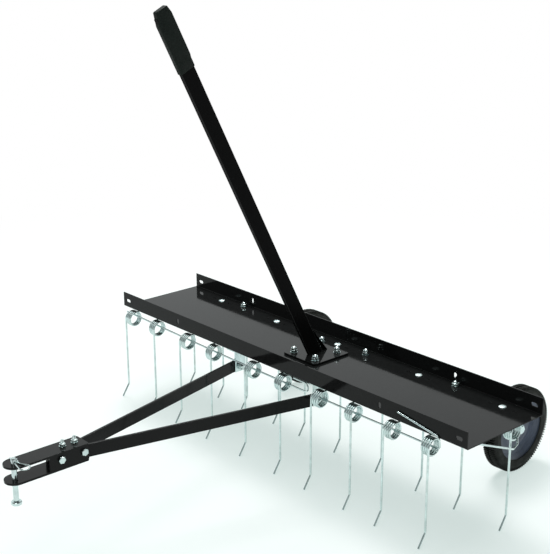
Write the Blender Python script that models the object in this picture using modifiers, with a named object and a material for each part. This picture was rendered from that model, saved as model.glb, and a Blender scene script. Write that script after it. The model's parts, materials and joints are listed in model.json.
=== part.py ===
"""Tow-behind dethatcher, 40 in wide: a folded steel tray with twenty coil-spring tines.

Metres. X runs across the lawn, -Y towards the tractor and Z up, with the ground at zero.
Left and right are as seen from the hitch, so left is -X.
"""

import math

import bmesh
import bpy
from mathutils import Matrix, Vector

# Clearance between pieces that touch
FIT = 0.0003

# Tray
TRAY_LENGTH = 1.016
TRAY_WIDTH = 0.214
FLANGE_HEIGHT = 0.034
TRAY_SHEET = 0.002
TRAY_BEND = 0.003
TRAY_HEIGHT = 0.210
END_SLOT_INSET = 0.018
END_SLOT_RADIUS = 0.0037
END_SLOT_LENGTH = 0.0155
SIDE_SLOT_X = 0.303
SIDE_SLOT_RADIUS = 0.0035
SIDE_SLOT_LENGTH = 0.011
FLANGE_HOLE_Z = 0.0165

# Spring tines, in pairs that share one wire
WIRE = 0.0042
COIL_RADIUS = 0.0158
COIL_PITCH = 0.0048
COIL_TURNS = 3.25
POINTS_PER_CURL = 8
COIL_STUB = 0.003
COIL_DROP = 0.0215
LEG_SPACING = 0.108
FRONT_COIL_Y = 0.002
REAR_COIL_Y = 0.159
FRONT_PAIR_INSETS = (0.080, 0.127)
REAR_PAIR_INSETS = (0.129, 0.070)
FRONT_INNER_PAIRS = (-0.225, -0.006, 0.191)
REAR_INNER_PAIRS = (-0.186, 0.006, 0.233)
TIP_DROP = 0.028
TIP_ANGLE = math.radians(33)
TINE_BEND = 0.009
BRIDGE_SETBACK = 0.0165
BRIDGE_BEND = 0.007
PAIR_HOLE_SETBACK = 0.0276
PAIR_HOLE_RADIUS = 0.0078
PAIR_HOLE_SIDES = 20
LANCE_OFFSET = 0.027
LANCE_WIDTH = 0.009
LANCE_SHEET = 0.0016

# Rods through the coils
ROD_WIRE = 0.0038
ROD_BEND = 0.009
FRONT_ROD_INSET = 0.0085
FRONT_ROD_DROPS = (0.0120, 0.0165, 0.0195, 0.0205)
FRONT_ROD_SPOTS = (-0.300, -0.090)
FRONT_ROD_ENDS = (0.1115, 0.1385)
FRONT_ROD_RETURN = 0.0415
FRONT_HOOK_INSET = 0.060
FRONT_HOOK_RISES = (0.0045, 0.0200)
FRONT_HOOK_LENGTH = 0.098
REAR_ROD_DROP = 0.0305
REAR_ROD_STARTS = (0.080, 0.160)
REAR_ROD_INSETS = (0.063, 0.005)
REAR_HOOK_STEP = 0.018
REAR_HOOK_DROP = 0.047
REAR_HOOK_REACH = 0.120

# Wheels
WHEEL_RADIUS = 0.0885
WHEEL_WIDTH = 0.030
WHEEL_X = (-0.268, 0.350)
AXLE_SETBACK = 0.1385
RIM_RADIUS = 0.0715
RIM_WALL = 0.0045
WEB = 0.004
HUB_RADIUS = 0.0155
HUB_REACH = 0.019
AXLE_RADIUS = 0.0063
AXLE_HEAD_RADIUS = 0.0105
WHEEL_SIDES = 32

# Wheel brackets
BRACKET_PLATE = 0.004
BRACKET_REACH = 0.032
BRACKET_MARGIN = 0.012
BRACKET_BOLT_X = (-0.325, 0.310)
BRACKET_BOLT_INSET = 0.014
TAB_HOLE_RADIUS = 0.0035
AXLE_BOSS = 0.017

# Lift handle
HANDLE_X = 0.015
HANDLE_LEAN = math.radians(27.2)
HANDLE_WIDTH = 0.0255
HANDLE_THICKNESS = 0.0085
HANDLE_HEIGHT = 0.709
HANDLE_FOOT_Y = 0.1157
GRIP_LENGTH = 0.110
GRIP_WALL = 0.0023
GRIP_END = 0.010
GRIP_TAPER = 0.0025
GRIP_TAPER_LENGTH = 0.020
FOOT_PLATE = 0.0042
FOOT_WIDTH = 0.095
FOOT_FRONT_Y = 0.066
FOOT_REAR_Y = 0.1645
FOOT_LUG = 0.005
LUG_HEIGHT = 0.063

# Draw bars
BAR_HEIGHT = 0.025
BAR_THICKNESS = 0.0048
BAR_SPREAD = 0.118
BAR_DROP = 0.0226
BAR_TAIL = 0.014
BAR_BEND_SETBACK = 0.1575
BAR_NOSE_SETBACK = 0.0905
BAR_STRAIGHT_Y = 0.002
BAR_BEND = 0.010
PIVOT_Y = 0.017
HANGER_WIDTH = 0.028
HANGER_SHEET = 0.003
HANGER_FRONT_Y = 0.0045
HANGER_MARGIN = 0.012

# Hitch
HITCH_REACH = 0.5975
STRAP_WIDTH = 0.040
STRAP_THICKNESS = 0.004
STRAP_LENGTH = 0.157
CHEEK_SETBACK = 0.0765
FAR_CHEEK_SETBACK = 0.0915
CHEEK_INSET = 0.001
SIDE_BOLT_SETBACKS = (0.0995, 0.146)
SIDE_BOLT_RISE = 0.0035
TOP_BOLT_SETBACKS = (0.115, 0.1393)
HITCH_BOLT_RADIUS = 0.0031
HITCH_BOLT_HEAD_RADIUS = 0.0065
BOLT_RADIUS = 0.004
BOLT_HEAD_RADIUS = 0.0075
BOLT_HEAD = 0.0048
NUT = 0.0060
STUD = 0.0040
BOLT_SIDES = 12
PIN_SETBACK = 0.0185
PIN_RADIUS = 0.0048
PIN_HEAD_RADIUS = 0.0095
PIN_HEAD = 0.007
PIN_LENGTH = 0.081
PIN_STANDING = 0.0095
CLIP_WIRE = 0.0024
CLIP_LEG = 0.028
CLIP_LOOP = 0.0095
CLIP_TAIL = 0.019
CLIP_HOOK = 0.010
CLIP_SHOULDER = 0.0125
CLIP_TURN = math.radians(-11)
KEEPER_HOLE_RADIUS = 0.0016
KEEPER_HOLE_X = 0.0092

# Places that follow from the sizes above
AXLE_FROM_FRONT = TRAY_WIDTH + AXLE_SETBACK
FRONT_Y = (HITCH_REACH - AXLE_FROM_FRONT - WHEEL_RADIUS) / 2
REAR_Y = FRONT_Y + TRAY_WIDTH
FLOOR_Z = TRAY_HEIGHT
DECK_Z = FLOOR_Z + TRAY_SHEET
COIL_Z = FLOOR_Z - COIL_DROP
AXLE_Y = FRONT_Y + AXLE_FROM_FRONT
AXLE_Z = WHEEL_RADIUS
BAR_TOP_Z = FLOOR_Z - BAR_DROP
BAR_MID_Z = BAR_TOP_Z - BAR_HEIGHT / 2
SIDE_BOLT_Z = BAR_MID_Z + SIDE_BOLT_RISE
BAR_FRONT_X = STRAP_WIDTH / 2 - STRAP_THICKNESS - FIT - BAR_THICKNESS / 2
TOP_STRAP_Z = BAR_TOP_Z + FIT
LOW_STRAP_Z = BAR_TOP_Z - BAR_HEIGHT - FIT - STRAP_THICKNESS
HITCH_Y = FRONT_Y - HITCH_REACH
PIVOT = Vector((0, FRONT_Y + PIVOT_Y, BAR_MID_Z))
PIN = Vector((0, HITCH_Y + PIN_SETBACK, TOP_STRAP_Z + STRAP_THICKNESS))
CLIP_WAY = Vector((math.cos(CLIP_TURN), math.sin(CLIP_TURN), 0))
HALF_TRAY = TRAY_LENGTH / 2
FRONT_PAIRS = (
    FRONT_PAIR_INSETS[0] - HALF_TRAY,
    *FRONT_INNER_PAIRS,
    HALF_TRAY - FRONT_PAIR_INSETS[1],
)
REAR_PAIRS = (
    REAR_PAIR_INSETS[0] - HALF_TRAY,
    *REAR_INNER_PAIRS,
    HALF_TRAY - REAR_PAIR_INSETS[1],
)


def clear_scene():
    for obj in list(bpy.data.objects):
        bpy.data.objects.remove(obj)


def new_collection(name):
    collection = bpy.data.collections.new(name)
    bpy.context.scene.collection.children.link(collection)
    return collection


def new_material(name, colour, roughness, metallic):
    material = bpy.data.materials.new(name)
    material.use_nodes = True
    shader = material.node_tree.nodes["Principled BSDF"]
    shader.inputs["Base Color"].default_value = (*colour, 1)
    shader.inputs["Roughness"].default_value = roughness
    shader.inputs["Metallic"].default_value = metallic
    return material


clear_scene()
PARTS = new_collection("tow_behind_dethatcher")
CUTTERS = new_collection("cutters")
BLACK_PAINT = new_material("black_paint", (0.012, 0.013, 0.014), 0.22, 0.0)
ZINC = new_material("zinc_plate", (0.62, 0.65, 0.66), 0.24, 1.0)
TYRE = new_material("tyre_rubber", (0.018, 0.018, 0.018), 0.75, 0.0)
RIM = new_material("rim_plastic", (0.075, 0.090, 0.125), 0.42, 0.0)
GRIP = new_material("grip_rubber", (0.014, 0.017, 0.016), 0.62, 0.0)

# Axes of a flat outline: its two directions, then its thickness, as the columns
LYING = Matrix(((1, 0, 0), (0, 1, 0), (0, 0, 1)))
SIDEWAYS = Matrix(((0, 0, 1), (1, 0, 0), (0, 1, 0)))


def add_part(name, data, material, origin=(0, 0, 0)):
    """Shows data as a part whose origin is at a point, with its shape left where it is."""
    data.transform(Matrix.Translation(-Vector(origin)))
    data.materials.clear()
    data.materials.append(material)
    part = bpy.data.objects.new(name, data)
    part.location = origin
    PARTS.objects.link(part)
    return part


def add_cutter(name, data):
    cutter = bpy.data.objects.new(name, data)
    cutter.hide_render = True
    cutter.display_type = "WIRE"
    CUTTERS.objects.link(cutter)
    return cutter


def combine(part, other, operation):
    boolean = part.modifiers.new(other.name, "BOOLEAN")
    boolean.object = other
    boolean.operation = operation


def bevel(part, width, segments=2, angle=40):
    rounding = part.modifiers.new("rounding", "BEVEL")
    rounding.width = width
    rounding.segments = segments
    rounding.limit_method = "ANGLE"
    rounding.angle_limit = math.radians(angle)


def finish_mesh(name, bm, smooth=40):
    bmesh.ops.recalc_face_normals(bm, faces=bm.faces)
    mesh = bpy.data.meshes.new(name)
    bm.to_mesh(mesh)
    bm.free()
    mesh.shade_smooth()
    mesh.set_sharp_from_angle(angle=math.radians(smooth))
    return mesh


def along(direction):
    """Turns the Z axis of a primitive to a direction."""
    return Vector((0, 0, 1)).rotation_difference(Vector(direction)).to_matrix().to_4x4()


def add_cylinder(bm, radius, start, end, sides=BOLT_SIDES):
    start = Vector(start)
    run = Vector(end) - start
    bmesh.ops.create_cone(
        bm,
        cap_ends=True,
        segments=sides,
        radius1=radius,
        radius2=radius,
        depth=run.length,
        matrix=Matrix.Translation(start + run / 2) @ along(run),
    )


def add_slot(bm, radius, length, start, end, lengthwise):
    """A hole with round ends, stretched along one direction."""
    before = set(bm.verts)
    add_cylinder(bm, radius, start, end, 12)
    lengthwise = Vector(lengthwise)
    middle = (Vector(start) + Vector(end)) / 2
    for vert in set(bm.verts) - before:
        side = (vert.co - middle).dot(lengthwise)
        vert.co += lengthwise * math.copysign(length / 2 - radius, side)


def add_block(bm, low, high):
    low = Vector(low)
    high = Vector(high)
    scale = Matrix.Diagonal((*(high - low), 1))
    bmesh.ops.create_cube(bm, size=1, matrix=Matrix.Translation((low + high) / 2) @ scale)


def round_corners(points, radius, steps=3, closed=False):
    """Replaces each corner of a path by an arc. The radius may be a list, one for each corner."""
    points = [Vector(point) for point in points]
    radii = radius if isinstance(radius, (list, tuple)) else [radius] * len(points)
    rounded = []
    for index, corner in enumerate(points):
        is_end = not closed and index in (0, len(points) - 1)
        if is_end or not radii[index]:
            rounded.append(corner)
            continue
        back = (points[index - 1] - corner).normalized()
        ahead = (points[(index + 1) % len(points)] - corner).normalized()
        half = back.angle(ahead) / 2
        reach = radii[index] / math.tan(half)
        centre = corner + (back + ahead).normalized() * radii[index] / math.sin(half)
        first = corner + back * reach - centre
        last = corner + ahead * reach - centre
        sweep = first.angle(last)
        for step in range(steps + 1):
            share = step / steps
            near = math.sin((1 - share) * sweep) / math.sin(sweep)
            far = math.sin(share * sweep) / math.sin(sweep)
            rounded.append(centre + first * near + last * far)
    return rounded


def wire(name, points, diameter, material, origin=(0, 0, 0)):
    curve = bpy.data.curves.new(name, "CURVE")
    curve.dimensions = "3D"
    curve.bevel_depth = diameter / 2
    curve.bevel_resolution = 1
    curve.use_fill_caps = True
    spline = curve.splines.new("POLY")
    spline.points.add(len(points) - 1)
    for spot, point in zip(spline.points, points):
        spot.co = (*point, 1)
    spline.use_smooth = True
    return add_part(name, curve, material, origin)


def plate_mesh(name, outline, thickness, axes, middle):
    """A flat outline with a thickness, turned to its axes, with its middle plane through a point."""
    curve = bpy.data.curves.new(name, "CURVE")
    curve.dimensions = "2D"
    curve.fill_mode = "BOTH"
    curve.extrude = thickness / 2
    spline = curve.splines.new("POLY")
    spline.points.add(len(outline) - 1)
    for spot, point in zip(spline.points, outline):
        spot.co = (point[0], point[1], 0, 1)
    spline.use_cyclic_u = True
    guide = bpy.data.objects.new(name + "_outline", curve)
    bpy.context.scene.collection.objects.link(guide)
    graph = bpy.context.evaluated_depsgraph_get()
    mesh = bpy.data.meshes.new_from_object(guide.evaluated_get(graph))
    bpy.data.objects.remove(guide)
    bm = bmesh.new()
    bm.from_mesh(mesh)
    bmesh.ops.remove_doubles(bm, verts=bm.verts, dist=0.00001)
    bmesh.ops.recalc_face_normals(bm, faces=bm.faces)
    bm.to_mesh(mesh)
    bm.free()
    mesh.transform(Matrix.Translation(middle) @ axes.to_4x4())
    return mesh


def turned(name, profile, material, origin, axis, steps):
    """A closed profile of (radius, height) pairs turned about an axis through the origin."""
    bm = bmesh.new()
    corners = [bm.verts.new((radius, 0, height)) for radius, height in profile]
    for first, second in zip(corners, corners[1:] + corners[:1]):
        bm.edges.new((first, second))
    mesh = bpy.data.meshes.new(name)
    bm.to_mesh(mesh)
    bm.free()
    part = add_part(name, mesh, material)
    part.location = origin
    part.rotation_euler = along(axis).to_euler()
    screw = part.modifiers.new("turning", "SCREW")
    screw.steps = steps
    screw.render_steps = steps
    screw.use_merge_vertices = True
    screw.merge_threshold = 0.00001
    screw.use_smooth_shade = True
    return part


def bolt(name, head, end, radius, head_size, origin=(0, 0, 0)):
    """A hex bolt with its nut: head is the seat under its head, end the seat of the nut."""
    head = Vector(head)
    end = Vector(end)
    run = (end - head).normalized()
    bm = bmesh.new()
    add_cylinder(bm, head_size, head - run * BOLT_HEAD, head, 6)
    shaft = bmesh.new()
    add_cylinder(shaft, radius, head - run * BOLT_HEAD / 2, end + run * (NUT + STUD))
    nut = bmesh.new()
    add_cylinder(nut, head_size, end, end + run * NUT, 6)
    part = add_part(name, finish_mesh(name, bm), ZINC, origin)
    combine(part, add_cutter(name + "_shaft", finish_mesh(name + "_shaft", shaft)), "UNION")
    combine(part, add_cutter(name + "_nut", finish_mesh(name + "_nut", nut)), "UNION")
    return part


def lance_mesh(pairs, axis_y):
    """Hooks pressed down from the tray floor, which hold the wire between two coils."""
    wire_y = axis_y + BRIDGE_SETBACK
    root_y = axis_y + PAIR_HOLE_SETBACK
    reach = WIRE + 2 * FIT
    bm = bmesh.new()
    for middle in pairs:
        for side in (-1, 1):
            low_x = middle + side * LANCE_OFFSET - LANCE_WIDTH / 2
            high_x = low_x + LANCE_WIDTH
            hook_z = FLOOR_Z - reach
            corners = (
                (root_y, DECK_Z - TRAY_SHEET / 2),
                (root_y, hook_z),
                (wire_y - WIRE / 2, hook_z),
                (wire_y - WIRE / 2, hook_z - LANCE_SHEET),
                (root_y + LANCE_SHEET, hook_z - LANCE_SHEET),
                (root_y + LANCE_SHEET, DECK_Z - TRAY_SHEET / 2),
            )
            face = bm.faces.new([bm.verts.new((low_x, y, z)) for y, z in corners])
            swept = bmesh.ops.extrude_face_region(bm, geom=[face])["geom"]
            moved = [item for item in swept if isinstance(item, bmesh.types.BMVert)]
            bmesh.ops.translate(bm, verts=moved, vec=(high_x - low_x, 0, 0))
    return finish_mesh("lances", bm)


def tray_holes():
    under = FLOOR_Z - 0.004
    over = DECK_Z + 0.004
    bm = bmesh.new()
    for pairs, coil_y in ((FRONT_PAIRS, FRONT_COIL_Y), (REAR_PAIRS, REAR_COIL_Y)):
        hole_y = FRONT_Y + coil_y + PAIR_HOLE_SETBACK
        for middle in pairs:
            low = (middle, hole_y, under)
            add_cylinder(bm, PAIR_HOLE_RADIUS, low, (middle, hole_y, over), PAIR_HOLE_SIDES)
    for bolt_x in BRACKET_BOLT_X:
        bolt_y = REAR_Y - BRACKET_BOLT_INSET
        add_cylinder(bm, BOLT_RADIUS + FIT, (bolt_x, bolt_y, under), (bolt_x, bolt_y, over))
    hole_z = FLOOR_Z + FLANGE_HOLE_Z
    for flange_y in (FRONT_Y, REAR_Y):
        for side in (-1, 1):
            hole_x = side * (HALF_TRAY - END_SLOT_INSET)
            near = (hole_x, flange_y - 0.006, hole_z)
            far = (hole_x, flange_y + 0.006, hole_z)
            add_slot(bm, END_SLOT_RADIUS, END_SLOT_LENGTH, near, far, (1, 0, 0))
            near = (side * SIDE_SLOT_X, flange_y - 0.006, hole_z)
            far = (side * SIDE_SLOT_X, flange_y + 0.006, hole_z)
            add_slot(bm, SIDE_SLOT_RADIUS, SIDE_SLOT_LENGTH, near, far, (0, 0, 1))
    return finish_mesh("tray_holes", bm)


def build_tray():
    top_z = FLOOR_Z + FLANGE_HEIGHT
    corners = ((FRONT_Y, top_z), (FRONT_Y, FLOOR_Z), (REAR_Y, FLOOR_Z), (REAR_Y, top_z))
    section = round_corners([Vector((0, y, z)) for y, z in corners], TRAY_BEND)
    bm = bmesh.new()
    verts = [bm.verts.new((-HALF_TRAY, y, z)) for _, y, z in section]
    edges = [bm.edges.new(pair) for pair in zip(verts, verts[1:])]
    swept = bmesh.ops.extrude_edge_only(bm, edges=edges)["geom"]
    moved = [item for item in swept if isinstance(item, bmesh.types.BMVert)]
    bmesh.ops.translate(bm, verts=moved, vec=(TRAY_LENGTH, 0, 0))
    for face in bm.faces:
        face.normal_update()
    floor = max(bm.faces, key=lambda face: face.calc_area())
    if floor.normal.z > 0:
        bmesh.ops.reverse_faces(bm, faces=bm.faces)
    mesh = bpy.data.meshes.new("tray")
    bm.to_mesh(mesh)
    bm.free()
    tray = add_part("tray", mesh, BLACK_PAINT)
    wall = tray.modifiers.new("wall", "SOLIDIFY")
    wall.thickness = TRAY_SHEET
    wall.offset = -1
    wall.use_even_offset = True
    for name, pairs, coil_y in (
        ("front_lances", FRONT_PAIRS, FRONT_COIL_Y),
        ("rear_lances", REAR_PAIRS, REAR_COIL_Y),
    ):
        hooks = lance_mesh(pairs, FRONT_Y + coil_y)
        combine(tray, add_cutter(name, hooks), "UNION")
    combine(tray, add_cutter("tray_holes", tray_holes()), "DIFFERENCE")


def coil_points(hand):
    """The coil from its leg to its inner end, about an axis along X through zero."""
    count = round(COIL_TURNS * POINTS_PER_CURL)
    points = []
    for step in range(count + 1):
        angle = math.tau * step / POINTS_PER_CURL
        shift = hand * COIL_PITCH * step / POINTS_PER_CURL
        points.append(Vector((shift, -COIL_RADIUS * math.cos(angle), COIL_RADIUS * math.sin(angle))))
    points.append(points[-1] + Vector((0, COIL_STUB, 0)))
    return points


def tine_points(hand):
    """A tine's wire from its tip on the ground to its coil's inner end."""
    lift = WIRE / 2 * math.sin(TIP_ANGLE)
    bend = Vector((0, -COIL_RADIUS, TIP_DROP - COIL_Z))
    tip_drop = TIP_DROP - lift
    tip = bend - Vector((0, tip_drop * math.tan(TIP_ANGLE), tip_drop))
    coil = coil_points(hand)
    return round_corners([tip, bend, coil[0]], TINE_BEND) + coil[1:]


def least_gap(points):
    """The smallest space between a wire's own turns, measured on its points."""
    turn = POINTS_PER_CURL // 2
    apart = [
        (first - second).length
        for index, first in enumerate(points)
        for second in points[index + turn :]
    ]
    return min(apart) - WIRE


def build_tines():
    for row, pairs, coil_y in (
        ("front", FRONT_PAIRS, FRONT_COIL_Y),
        ("rear", REAR_PAIRS, REAR_COIL_Y),
    ):
        axis_y = FRONT_Y + coil_y
        for index, middle in enumerate(pairs):
            for hand in (1, -1):
                number = 2 * index + (1 if hand > 0 else 2)
                origin = Vector((middle - hand * LEG_SPACING / 2, axis_y, COIL_Z))
                points = [origin + point for point in tine_points(hand)]
                wire(f"{row}_tine_{number}", points, WIRE, ZINC, origin)
            build_bridge(f"{row}_bridge_{index + 1}", middle, axis_y)
    print(f"least gap in a coil {1000 * least_gap(coil_points(1)):.2f} mm")


def build_bridge(name, middle, axis_y):
    """The middle of a double spring, which runs back under the floor between its two coils."""
    inner = LEG_SPACING / 2 - COIL_TURNS * COIL_PITCH
    start_y = axis_y + COIL_STUB + FIT
    line_y = axis_y + BRIDGE_SETBACK
    coil_top = COIL_Z + COIL_RADIUS
    wire_z = FLOOR_Z - WIRE / 2 - FIT
    half = [
        (-inner, start_y, coil_top),
        (-inner, start_y + WIRE, coil_top),
        (-inner, line_y, wire_z),
    ]
    path = half + [(-x, y, z) for x, y, z in reversed(half)]
    radii = [0, 0, BRIDGE_BEND, BRIDGE_BEND, 0, 0]
    points = [point + Vector((middle, 0, 0)) for point in round_corners(path, radii, 4)]
    wire(name, points, WIRE, ZINC)


def hooked_rod(name, path, bends):
    """A rod along points given by their X, their distance behind the tray's front and their drop."""
    points = [Vector((x, FRONT_Y + y, FLOOR_Z - drop)) for x, y, drop in path]
    wire(name, round_corners(points, bends, 4), ROD_WIRE, ZINC)


def build_rods():
    """Four rods through the coils. Each outer end is bent to hold on the tray."""
    clear = ROD_WIRE / 2 + FIT
    line = FRONT_COIL_Y
    spots = (FRONT_ROD_INSET - HALF_TRAY, *FRONT_ROD_SPOTS, FRONT_ROD_ENDS[0])
    path = [(x, line, drop) for x, drop in zip(spots, FRONT_ROD_DROPS)]
    path.append((FRONT_ROD_ENDS[0], line, clear))
    path.append((FRONT_ROD_ENDS[0] - FRONT_ROD_RETURN, line, clear))
    hooked_rod("front_rod_left", path, (0, 0, 0, ROD_BEND, ROD_BEND, 0))
    hook_x = HALF_TRAY - FRONT_HOOK_INSET
    low_rise, high_rise = FRONT_HOOK_RISES
    path = (
        (FRONT_ROD_ENDS[1], line, FRONT_ROD_DROPS[-1]),
        (hook_x, line, FRONT_ROD_DROPS[-1]),
        (hook_x, -clear, -low_rise),
        (hook_x - FRONT_HOOK_LENGTH, -clear, -high_rise),
    )
    hooked_rod("front_rod_right", path, (0, ROD_BEND, ROD_BEND, 0))
    line = REAR_COIL_Y
    for side, label, start, inset in zip((-1, 1), ("left", "right"), REAR_ROD_STARTS, REAR_ROD_INSETS):
        end = side * (HALF_TRAY - inset)
        path = (
            (start, line, REAR_ROD_DROP),
            (end, line, REAR_ROD_DROP),
            (end, line - REAR_HOOK_STEP, REAR_HOOK_DROP),
            (end, line - REAR_HOOK_REACH, clear),
        )
        hooked_rod(f"rear_rod_{label}", path, (0, ROD_BEND * 0.8, ROD_BEND * 0.8, 0))


def wheel_profiles():
    """Closed outlines of the rim and the tyre, as radius and height from the outer face inwards."""
    half = WHEEL_WIDTH / 2
    bore = AXLE_RADIUS + FIT
    band = RIM_RADIUS - RIM_WALL
    rim = (
        (bore, half * 0.8),
        (HUB_RADIUS, half * 0.8),
        (HUB_RADIUS, half * 0.2),
        (band - 0.014, half * 0.1),
        (band, half * 0.6),
        (band, half * 0.95),
        (RIM_RADIUS, half * 0.95),
        (RIM_RADIUS, -half * 0.95),
        (band, -half * 0.95),
        (band - 0.004, half * 0.1 - WEB),
        (HUB_RADIUS, half * 0.2 - WEB),
        (HUB_RADIUS, FIT - HUB_REACH),
        (bore, FIT - HUB_REACH),
    )
    seat = RIM_RADIUS + FIT
    wall = WHEEL_RADIUS - 0.0055
    crown = WHEEL_RADIUS - 0.0012
    tyre = (
        (seat, half),
        (wall, half),
        (crown, half - 0.0035),
        (WHEEL_RADIUS, half - 0.0080),
        (WHEEL_RADIUS, 0.0080 - half),
        (crown, 0.0035 - half),
        (wall, -half),
        (seat, -half),
    )
    return rim, tyre


def build_wheels():
    """Both wheels sit on the right of their brackets, as the brackets aren't handed."""
    rim, tyre = wheel_profiles()
    for wheel_x, label in zip(WHEEL_X, ("left", "right")):
        centre = Vector((wheel_x, AXLE_Y, AXLE_Z))
        turned(f"wheel_tyre_{label}", tyre, TYRE, centre, (1, 0, 0), WHEEL_SIDES)
        turned(f"wheel_rim_{label}", rim, RIM, centre, (1, 0, 0), WHEEL_SIDES)
        head = centre + Vector((WHEEL_WIDTH * 0.4 + FIT, 0, 0))
        nut = centre - Vector((HUB_REACH + BRACKET_PLATE + FIT, 0, 0))
        bolt(f"axle_bolt_{label}", head, nut, AXLE_RADIUS, AXLE_HEAD_RADIUS)


def arm_outline(front_y, shelf_z, back_y, top_z):
    """The side view of a bracket's arm, from under the floor back and down to the axle."""
    down = Vector((AXLE_Y - REAR_Y, AXLE_Z - FLOOR_Z)).normalized()
    across = Vector((-down.y, down.x))
    centre = Vector((AXLE_Y, AXLE_Z))
    corners = (
        Vector((front_y, shelf_z + BRACKET_PLATE / 2)),
        Vector((back_y - BRACKET_PLATE / 2, shelf_z + BRACKET_PLATE / 2)),
        Vector((back_y - BRACKET_PLATE / 2, top_z)),
        Vector((back_y + 0.012, top_z)),
        centre + (across + down) * AXLE_BOSS,
        centre + (down - across) * AXLE_BOSS,
        Vector((front_y, shelf_z - 0.010)),
    )
    radii = (0, 0, 0, 0.008, AXLE_BOSS * 0.95, AXLE_BOSS * 0.95, 0.005)
    return round_corners(corners, radii, 5, closed=True)


def build_wheel_brackets():
    """An angle under the floor and on the rear flange, with an arm down to the axle."""
    shelf_z = FLOOR_Z - FIT - BRACKET_PLATE
    back_y = REAR_Y + FIT + BRACKET_PLATE
    front_y = REAR_Y - BRACKET_REACH
    tab_z = FLOOR_Z + FLANGE_HEIGHT - 0.006
    outline = arm_outline(front_y, shelf_z, back_y, FLOOR_Z + 0.012)
    for side, label, wheel_x, bolt_x in zip((-1, 1), ("left", "right"), WHEEL_X, BRACKET_BOLT_X):
        high_x = wheel_x - HUB_REACH
        slot_x = side * SIDE_SLOT_X
        low_x = min(bolt_x, slot_x) - BRACKET_MARGIN
        arm_x = high_x - BRACKET_PLATE / 2
        mesh = plate_mesh("arm", outline, BRACKET_PLATE, SIDEWAYS, Vector((arm_x, 0, 0)))
        bracket = add_part(f"wheel_bracket_{label}", mesh, BLACK_PAINT)
        end_x = high_x - BRACKET_PLATE / 4
        shelf = bmesh.new()
        add_block(shelf, (low_x, front_y + 0.002, shelf_z), (end_x, back_y, shelf_z + BRACKET_PLATE))
        combine(bracket, add_cutter(f"shelf_{label}", finish_mesh("shelf", shelf)), "UNION")
        tab = bmesh.new()
        tab_low = (low_x, REAR_Y + FIT, shelf_z + BRACKET_PLATE / 2)
        add_block(tab, tab_low, (slot_x + BRACKET_MARGIN, back_y, tab_z))
        combine(bracket, add_cutter(f"tab_{label}", finish_mesh("tab", tab)), "UNION")
        holes = bmesh.new()
        bolt_y = REAR_Y - BRACKET_BOLT_INSET
        hole = BOLT_RADIUS + FIT
        add_cylinder(holes, hole, (bolt_x, bolt_y, shelf_z - 0.004), (bolt_x, bolt_y, FLOOR_Z))
        hole_z = FLOOR_Z + FLANGE_HOLE_Z
        add_cylinder(holes, TAB_HOLE_RADIUS, (slot_x, REAR_Y, hole_z), (slot_x, back_y + 0.004, hole_z))
        near = (arm_x - BRACKET_PLATE, AXLE_Y, AXLE_Z)
        far = (arm_x + BRACKET_PLATE, AXLE_Y, AXLE_Z)
        add_cylinder(holes, AXLE_RADIUS + FIT, near, far)
        cutter = add_cutter(f"bracket_holes_{label}", finish_mesh("holes", holes))
        combine(bracket, cutter, "DIFFERENCE")


def handle_point(height, across=0.0):
    """A point of the leaning handle, from its height over the floor and its offset across the bar."""
    lean = math.tan(HANDLE_LEAN)
    y = FRONT_Y + HANDLE_FOOT_Y - lean * height + across / math.cos(HANDLE_LEAN)
    return Vector((y, FLOOR_Z + height))


def across_bar(width):
    """Half of a width, measured square to the leaning bar."""
    return Vector((math.cos(HANDLE_LEAN), math.sin(HANDLE_LEAN))) * width / 2


def along_bar(length):
    return Vector((-math.sin(HANDLE_LEAN), math.cos(HANDLE_LEAN))) * length


def build_handle():
    foot = TRAY_SHEET + FIT + FOOT_PLATE
    middle = Vector((HANDLE_X, 0, 0))
    end = handle_point(HANDLE_HEIGHT)
    half = across_bar(HANDLE_WIDTH)
    bar_outline = [
        handle_point(foot + FIT, HANDLE_WIDTH / 2),
        end + half,
        end - half,
        handle_point(foot + FIT, -HANDLE_WIDTH / 2),
    ]
    bar_mesh = plate_mesh("bar", bar_outline, HANDLE_THICKNESS, SIDEWAYS, middle)
    bar = add_part("handle_bar", bar_mesh, BLACK_PAINT)
    bevel(bar, 0.0012)
    low = end - along_bar(GRIP_LENGTH)
    high = end + along_bar(GRIP_END)
    wide = across_bar(HANDLE_WIDTH + 2 * GRIP_WALL)
    narrow = across_bar(HANDLE_WIDTH + 2 * (GRIP_WALL - GRIP_TAPER))
    shoulder = high - along_bar(GRIP_TAPER_LENGTH)
    grip_outline = [low + wide, high + wide, high - narrow, shoulder - wide, low - wide]
    thickness = HANDLE_THICKNESS + 2 * GRIP_WALL
    grip = add_part("handle_grip", plate_mesh("grip", grip_outline, thickness, SIDEWAYS, middle), GRIP)
    bevel(grip, 0.0020, 3, 20)
    slack = across_bar(HANDLE_WIDTH + 2 * FIT)
    stop = end + along_bar(FIT)
    below = low - along_bar(0.02)
    bore_outline = [below + slack, stop + slack, stop - slack, below - slack]
    bore_mesh = plate_mesh("bore", bore_outline, HANDLE_THICKNESS + 2 * FIT, SIDEWAYS, middle)
    combine(grip, add_cutter("grip_bore", bore_mesh), "DIFFERENCE")
    build_foot(foot)


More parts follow.
